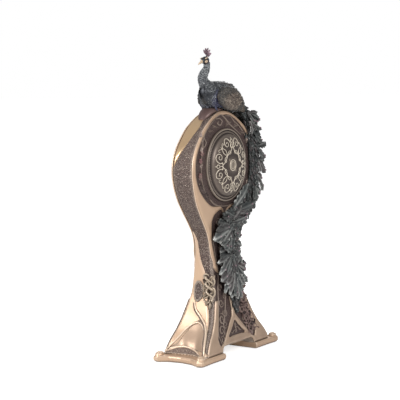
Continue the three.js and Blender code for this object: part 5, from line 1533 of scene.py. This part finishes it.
def make_cartouche_rim(side, node, name):
    """The bumpy metal rim of the oval boss on a flank."""
    low, high = size_of(node)
    middle = (low + high) / 2
    half_y, half_z = (high.y - low.y) / 2 - 1, (high.z - low.z) / 2 - 1
    places = []
    rand = random.Random(5)
    for k in range(34):
        turn = k / 34 * math.tau
        y, z = middle.y + half_y * math.cos(turn), middle.z + half_z * math.sin(turn)
        at = Vector((side * (side_surface(y, z) + 2.7), y, z))
        way = Vector((0, -math.sin(turn), math.cos(turn)))
        thick = 0.9 + 0.8 * abs(math.sin(turn))
        grow = [thick * rand.uniform(1, 1.25), rand.uniform(1, 1.4), 0.9]
        places.append(seat(at, way, Vector((side, 0, 0)), grow))
    return place_copies(scale_base(), places, name)


# The dark line that runs from the cartouche down to the niche and along its edge: y and z in millimetres
CREASE = [(-10.5, 72), (-6.5, 63), (2.5, 54.5), (12, 46), (18, 37), (22.5, 27), (26, 16), (27.5, 11)]


def flank_tube(side, name, points, radius, lift):
    """A roll along a flank through points of y and z, thin at its ends."""
    path = smooth_path([(0, y, z) for y, z in points], 6)
    path = [Vector((side * (side_surface(p.y, p.z) + lift), p.y, p.z)) for p in path]
    return tube(name, path, radius, thin_ends)


def make_folds(side, name):
    """Soft rolls beside the crease, along the arch of the niche and over its lower edge."""
    beside = [(y + 2.2, z + 1.2) for y, z in CREASE]
    arch = [(-30, 13), (-26, 18.5), (-20.5, 25.5), (-13, 38), (-5.5, 45), (2.5, 48), (10, 45.5), (15, 40)]
    wave = [(-31, 12), (-25, 14), (-13.5, 18), (-1.5, 18.5), (10.5, 16), (20, 12)]
    return join([
        flank_tube(side, "fold", beside, radius=1.7, lift=2.1),
        flank_tube(side, "arch", arch, radius=1.5, lift=1.9),
        flank_tube(side, "wave", wave, radius=1.5, lift=1.9),
    ], name)


def make_lunette(side, name):
    """The pebbled band between the drape and the foot."""
    top = [(-29, 12.4), (-25, 14), (-13.5, 18), (-1.5, 18.5), (10.5, 16), (20, 12.4)]
    rim = [(-29, 10.2), *top, (20, 10.2), (0, 10)]
    return make_skin(name, side, "flank", [rim], thickness=1.2, voxel=0.45, middle=1.7)


def make_drape(side, name):
    """The smooth hollow of the niche: a shallow skin with soft folds."""
    obj = flat_plate(name, [on_flank(NICHE_SHARES)], 1.6)
    fuse(obj, 0.7, 2)
    for vertex in obj.data.vertices:
        y, z, c = vertex.co / MM
        if c > 0:
            fold = 0.7 * math.cos((y + 0.4 * (z - 20)) * 0.28) * min(1, max(0, (46 - z) / 20))
            vertex.co.z = (c + fold - 0.5 * min(1, max(0, (z - 16) / 22))) * MM
    lay(obj, side, 0.7, "flank")
    return obj


# Dial side
def make_bezel(name):
    edge = COVER_RADIUS
    opening = BORE_RADIUS - 3
    tube_radius = BORE_RADIUS - FIT_GAP
    lip = opening - 1.2
    front = 3.6
    glass_seat = front - 0.9
    profile = [
        (opening, -4.2), (tube_radius, -4.2), (tube_radius, FIT_GAP), (edge, FIT_GAP), (edge, FIT_GAP + 0.6),
        (edge - 0.6, front - 1.4), (edge - 1.6, front - 0.6), (edge - 2.6, front - 0.2), (edge - 3.6, front),
        (edge - 4.6, front - 0.5), (edge - 5.4, front - 1.1), (edge - 6.2, front - 0.4),
        (opening + 1.6, front - 0.05), (opening + 0.4, front - 0.1), (lip + 0.4, front - 0.4),
        (lip, front - 0.7), (lip, glass_seat), (opening + 1.4, glass_seat), (opening + 1.4, glass_seat - 2),
        (opening, glass_seat - 2),
    ]
    return spun(name, [(radius, -FACE_Y - y) for radius, y in profile], 192)


def make_numerals(name):
    """Plain hour numbers and a minute track on the dial plate."""
    front = -(FACE_Y - 4.5)
    ring, track = sizes().number_ring / MM, 37.2
    parts = []
    for hour in range(1, 13):
        turn = hour / 12 * math.tau
        bpy.ops.object.text_add()
        text = bpy.context.object.data
        text.body = str(hour)
        text.size = sizes().number_height
        text.extrude = 0.12 * MM
        text.align_x = text.align_y = "CENTER"
        number = to_mesh(bpy.context.object)
        weld(number)
        at = Vector((ring * math.sin(turn), front - 0.1, DIAL_HEIGHT + ring * math.cos(turn)))
        number.data.transform(Matrix.Translation(at * MM) @ Matrix.Rotation(math.pi / 2, 4, "X"))
        parts.append(number)
    for minute in range(60):
        wide, long = (0.7, 1.6) if minute % 5 == 0 else (0.3, 1)
        bpy.ops.mesh.primitive_cube_add(size=1)
        tick = bpy.context.object
        middle = Matrix.Translation((0, front * MM, DIAL_HEIGHT * MM))
        reach = Matrix.Translation((0, 0, track * MM)) @ Matrix.Diagonal((wide * MM, 0.24 * MM, long * MM, 1))
        tick.data.transform(middle @ Matrix.Rotation(minute / 60 * math.tau, 4, "Y") @ reach)
        parts.append(tick)
    return join(parts, name)


# Sizes and colours that a user would change
def length(name, description, default):
    return bpy.props.FloatProperty(
        name=name, description=description, default=default, min=default / 2, max=default * 1.5,
        precision=5, subtype="DISTANCE", unit="LENGTH",
    )


def tint(name, description, default):
    return bpy.props.FloatVectorProperty(
        name=name, description=description, default=default, subtype="COLOR", size=3, min=0, max=1,
    )


class ClockSizes(bpy.types.PropertyGroup):
    vine_radius: length("Vine stem", "Radius of the two stems at the waist", 1.7 * MM)
    crest_length: length("Crest", "Length of the longest feathers of the crest", 11.8 * MM)
    number_height: length("Hour numbers", "Letter size of the numbers on the dial", 7 * MM)
    number_ring: length("Number ring", "Distance of the numbers from the dial's middle", 24.6 * MM)
    scroll_width: bpy.props.FloatProperty(
        name="Scroll width", description="Width of the rosette's lines, as a share of the widest that fits",
        default=0.8, min=0.4, max=1, subtype="FACTOR",
    )


class ClockColours(bpy.types.PropertyGroup):
    gold: tint("Pale gold", "Smooth strips, flanks and feet", (0.67, 0.475, 0.325))
    dark: tint("Dark bronze", "Pebbled sides and panels", (0.38, 0.26, 0.205))
    train: tint("Feathers", "Train feathers between their silver edges", (0.009, 0.013, 0.013))


class CLOCK_OT_stage(bpy.types.Operator):
    """Adds the camera, the lamps, the world and the floor."""
    bl_idname = "clock.stage"
    bl_label = "Stage"

    def execute(self, context):
        theta, lift, roll = math.radians(56.2), math.radians(5.67), math.radians(-0.7)
        back = Vector((math.sin(theta) * math.cos(lift), math.cos(theta) * math.cos(lift), math.sin(lift)))
        right = Vector((-math.cos(theta), math.sin(theta), 0))
        target = Vector((0, 0, 0.20335)) + right * -0.0213
        lens = bpy.data.cameras.new("camera")
        lens.sensor_width = 36
        lens.lens = lens.sensor_width * 1268.85 / 400
        lens.clip_end = 20
        camera = bpy.data.objects.new("camera", lens)
        camera.location = target + back * 1.6736
        turn = Matrix.Rotation(roll, 3, back) @ back.to_track_quat("Z", "Y").to_matrix()
        camera.rotation_euler = turn.to_euler()
        context.collection.objects.link(camera)
        context.scene.camera = camera
        context.scene.view_settings.view_transform = "Standard"
        self.add_lamps(context, target)
        self.add_world(context)
        self.add_floor()
        return {"FINISHED"}

    def add_lamps(self, context, target):
        for name, azimuth, height, power, width in (
            ("key_lamp", 70, 0.75, 12, 0.4), ("rear_lamp", 160, 0.8, 8, 0.35), ("far_lamp", -60, 0.8, 3, 0.6),
        ):
            data = bpy.data.lights.new(name, "AREA")
            data.energy = power
            data.size = width
            lamp = bpy.data.objects.new(name, data)
            turn = math.radians(azimuth)
            lamp.location = Vector((math.sin(turn), -math.cos(turn), 0)) * 1.2 + Vector((0, 0, height))
            lamp.rotation_euler = (lamp.location - target).to_track_quat("Z", "Y").to_euler()
            context.collection.objects.link(lamp)

    def add_world(self, context):
        world = bpy.data.worlds.new("studio")
        world.use_nodes = True
        context.scene.world = world
        tree = world.node_tree
        sky = tree.nodes["Background"]
        sky.inputs["Color"].default_value = (1, 1, 1, 1)
        path = tree.nodes.new("ShaderNodeLightPath")
        seen = math_node(tree, "ADD", path.outputs["Is Camera Ray"], path.outputs["Is Transmission Ray"])
        strength = map_range(tree, seen, 0, 1, 0.46, 1)
        tree.links.new(strength, sky.inputs["Strength"])

    def add_floor(self):
        bpy.ops.mesh.primitive_plane_add(size=60)
        floor = bpy.context.object
        floor.name = "floor"
        material, tree, shader = blank_material("paper_floor")
        shader.inputs["Base Color"].default_value = (0.86, 0.86, 0.86, 1)
        shader.inputs["Roughness"].default_value = 0.9
        shader.inputs["Emission Color"].default_value = (1, 1, 1, 1)
        path = tree.nodes.new("ShaderNodeLightPath")
        glow = map_range(tree, path.outputs["Is Camera Ray"], 0, 1, 0, 0.68)
        tree.links.new(glow, shader.inputs["Emission Strength"])
        floor.data.materials.append(material)


class CLOCK_OT_case(bpy.types.Operator):
    """Makes the smooth case with its bore, its arch and the polished crescents."""
    bl_idname = "clock.case"
    bl_label = "Case"

    def execute(self, context):
        case = make_case("case_casting")
        cut(case, bore_cutter())
        cut(case, arch_cutter())
        set_mask(case, self.face_share)
        finish_piece(case, "pebbled_bronze", "dark_bronze", "case_body")
        for side, place in SIDES:
            finish_piece(make_crescent(side, f"crescent_{place}"), "polished_gold", "gold_bronze")
        return {"FINISHED"}

    @staticmethod
    def face_share(co):
        """The faces between the frame and the braces are darker than the flanks."""
        edge = case_half_depth(co.z / MM) - 0.4
        return 0, 0, 0.75 * (abs(co.y / MM) > edge)


class CLOCK_OT_relief(bpy.types.Operator):
    """Makes the raised lines, leaves and flowers on both faces."""
    bl_idname = "clock.relief"
    bl_label = "Relief"

    def execute(self, context):
        for side, place in FACES:
            finish_piece(make_relief(side, f"relief_{place}"), "relief_bronze", "dark_bronze")
        finish_piece(make_flowers("flowers_rear"), "flower_paint", "dark_bronze")
        finish_piece(make_bush("bush_rear"), "panel_bronze", "dark_bronze")
        return {"FINISHED"}


class CLOCK_OT_faces(bpy.types.Operator):
    """Makes the face frames and the foot braces."""
    bl_idname = "clock.faces"
    bl_label = "Frames and braces"

    def execute(self, context):
        for side, place in FACES:
            strip = make_frame(side, f"{place}_frame_casting")
            finish_piece(strip, "pale_gold", "gold_bronze", f"{place}_frame")
            brace = make_brace(side, f"{place}_brace_casting")
            finish_piece(brace, "worn_and_shaded_gold", "gold_bronze", f"{place}_brace")
        return {"FINISHED"}


class CLOCK_OT_flanks(bpy.types.Operator):
    """Makes the smooth flanks, their niches and cartouches, the feet and the vine."""
    bl_idname = "clock.flanks"
    bl_label = "Flanks and feet"

    def execute(self, context):
        for side, place in SIDES:
            apron = make_apron(side, f"apron_casting_{place}")
            finish_piece(apron, "pale_gold", "gold_bronze", f"side_apron_{place}")
            # The drape takes the darker gold as painted shade inside the niche
            finish_piece(make_drape(side, f"drape_{place}"), "worn_and_shaded_gold", "gold_bronze")
            crease = flank_tube(side, f"crease_{place}", CREASE, radius=0.7, lift=2.5)
            finish_piece(crease, "relief_bronze", "dark_bronze")
            finish_piece(make_folds(side, f"folds_{place}"), "pale_gold", "gold_bronze")
            finish_piece(make_lunette(side, f"lunette_{place}"), "gold_pebble", "gold_bronze")
            node = f"cartouche_{place}"
            oval = melted_copy(node, f"cartouche_casting_{place}", voxel=0.55, rounds=2)
            finish_piece(oval, "pebbled_bronze", "antique_bronze", node)
            rim = make_cartouche_rim(side, node, f"cartouche_rim_{place}")
            finish_piece(rim, "antique_bronze", "antique_bronze")
            foot = melted_copy(f"foot_{place}", f"foot_casting_{place}", voxel=0.7, rounds=3)
            finish_piece(foot, "pale_gold", "gold_bronze", f"foot_{place}")
            finish_piece(make_beads(place, f"foot_curls_{place}"), "pale_gold", "gold_bronze")
        finish_piece(make_vine("vine_casting"), "antique_gold", "gold_bronze", "vine_knot")
        return {"FINISHED"}


class CLOCK_OT_cover(bpy.types.Operator):
    """Makes the rear cover and its rosette of scrolls."""
    bl_idname = "clock.cover"
    bl_label = "Rear cover"

    def execute(self, context):
        for piece, finish, node in (
            (make_cover("cover_casting"), "antique_bronze", "rear_cover"),
            (make_rosette("rosette_casting"), "rubbed_line", "cover_rosette"),
        ):
            finish_piece(piece, finish, "antique_bronze", node, body="cover_group")
        return {"FINISHED"}


class CLOCK_OT_bird(bpy.types.Operator):
    """Makes the peacock, its wings, its crest and the perch."""
    bl_idname = "clock.bird"
    bl_label = "Peacock"

    def execute(self, context):
        slot = "peacock_paint"
        finish_piece(make_bird(), "bird_paint", slot, "peacock_body")
        finish_piece(make_breast("breast_feathers"), "silver_paint", slot)
        finish_piece(make_crown("crown_feathers"), "crown_paint", slot)
        finish_piece(make_back("back_feathers"), "train_paint", slot)
        finish_piece(oval_body("beak", bird_frames(BEAK_SHARES), 14), "cheek_paint", slot)
        self.add_face(slot)
        for side, place in FACES:
            wing = make_wing(side, f"wing_casting_{place}")
            finish_piece(wing, "wing_paint", "wing_paint", f"wing_{place}")
        finish_piece(make_crest("crest_casting"), "crest_paint", "crest_paint", "peacock_crest")
        perch = oval_body("perch_casting", bird_frames(PERCH_SHARES), 20)
        finish_piece(perch, "panel_bronze", "dark_bronze", "perch_branch")
        return {"FINISHED"}

    def add_face(self, slot):
        eyes, cheeks = [], []
        for side in (1, -1):
            out = Vector((0, side, 0))
            at = on_bird(0.452, side * 0.05, 0.838)
            eyes.append(seat(at, Vector((1, 0, -0.2)), out, (0.75, 1.0, 0.6)))
            for dx, dz, size in ((0.6, 1.9, (1, 4, 1.2)), (0, -2, (1.9, 5, 1.4))):
                patch = at + Vector((dx, -side * (0.1 + 0.1 * abs(dz)), dz))
                cheeks.append(seat(patch, Vector((1, 0, -0.25)), out, size))
        finish_piece(place_copies(scale_base(), eyes, "eyes"), "eye_paint", slot)
        finish_piece(place_copies(scale_base(), cheeks, "cheeks"), "cheek_paint", slot)


class CLOCK_OT_train(bpy.types.Operator):
    """Makes the four lengths of the train."""
    bl_idname = "clock.train"
    bl_label = "Train"

    def execute(self, context):
        spots = []
        for part, node in enumerate(TRAIN_NODES):
            train, places = make_train(part, f"{node}_feathers")
            finish_piece(train, "train_paint", "feather_paint", node)
            spots += places
        finish_piece(place_copies(scale_base(), spots, "train_eyes"), "crest_paint", "feather_paint")
        return {"FINISHED"}


# Finishes of the frame nodes that stay
KEPT_FINISHES = {
    "satin_ivory": ("dial_plate",),
    "black_rubber": ("rubber_washer",),
    "green_board": ("circuit_board",),
    "machined_brass": (
        "mounting_nut", "hour_wheel", "cannon_pinion", "centre_wheel", "motion_wheel", "intermediate_wheel",
        "second_wheel", "third_wheel",
    ),
    "turned_steel": ("rotor", "stator", "battery_contact_positive", "battery_contact_negative"),
    "black_plastic": ("hour_hand", "minute_hand", "second_hand", "movement_case", "movement_cover"),
    "wheel_plastic": ("setting_knob",),
    "copper_wire": ("coil",),
    "battery_jacket": ("battery",),
    "black_felt": [f"felt_pad_{side}_{end}" for side in ("right", "left") for end in ("rear", "front")],
    "clear_glass": ("dial_glass",),
}


class CLOCK_OT_dial(bpy.types.Operator):
    """Makes the bezel and the dial's numbers, and finishes the movement."""
    bl_idname = "clock.dial"
    bl_label = "Dial and movement"

    def execute(self, context):
        finish_piece(make_bezel("bezel_casting"), "pale_gold", "gold_bronze", "dial_bezel")
        finish_piece(make_numerals("dial_numbers"), "numeral_ink", "black_plastic")
        for finish, names in KEPT_FINISHES.items():
            for name in names:
                dress(name, finish)
        return {"FINISHED"}


class CLOCK_PT_panel(bpy.types.Panel):
    """Lists the steps that dress the clock."""
    bl_idname = "CLOCK_PT_panel"
    bl_label = "Clock"
    bl_space_type = "VIEW_3D"
    bl_region_type = "UI"
    bl_category = "Clock"

    def draw(self, context):
        for group in (context.scene.clock_sizes, context.scene.clock_colours):
            for name in group.__annotations__:
                self.layout.prop(group, name)
        for operator in OPERATORS:
            self.layout.operator(operator.bl_idname)


OPERATORS = (
    CLOCK_OT_stage, CLOCK_OT_case, CLOCK_OT_relief, CLOCK_OT_faces, CLOCK_OT_flanks, CLOCK_OT_cover,
    CLOCK_OT_bird, CLOCK_OT_train, CLOCK_OT_dial,
)
CLASSES = (ClockSizes, ClockColours, *OPERATORS, CLOCK_PT_panel)


def register():
    for entry in CLASSES:
        bpy.utils.register_class(entry)
    bpy.types.Scene.clock_sizes = bpy.props.PointerProperty(type=ClockSizes)
    bpy.types.Scene.clock_colours = bpy.props.PointerProperty(type=ClockColours)


def unregister():
    del bpy.types.Scene.clock_sizes
    del bpy.types.Scene.clock_colours
    for entry in reversed(CLASSES):
        bpy.utils.unregister_class(entry)


def main():
    register()
    for operator in OPERATORS:
        category, name = operator.bl_idname.split(".")
        getattr(getattr(bpy.ops, category), name)()


if __name__ == "__main__":
    main()
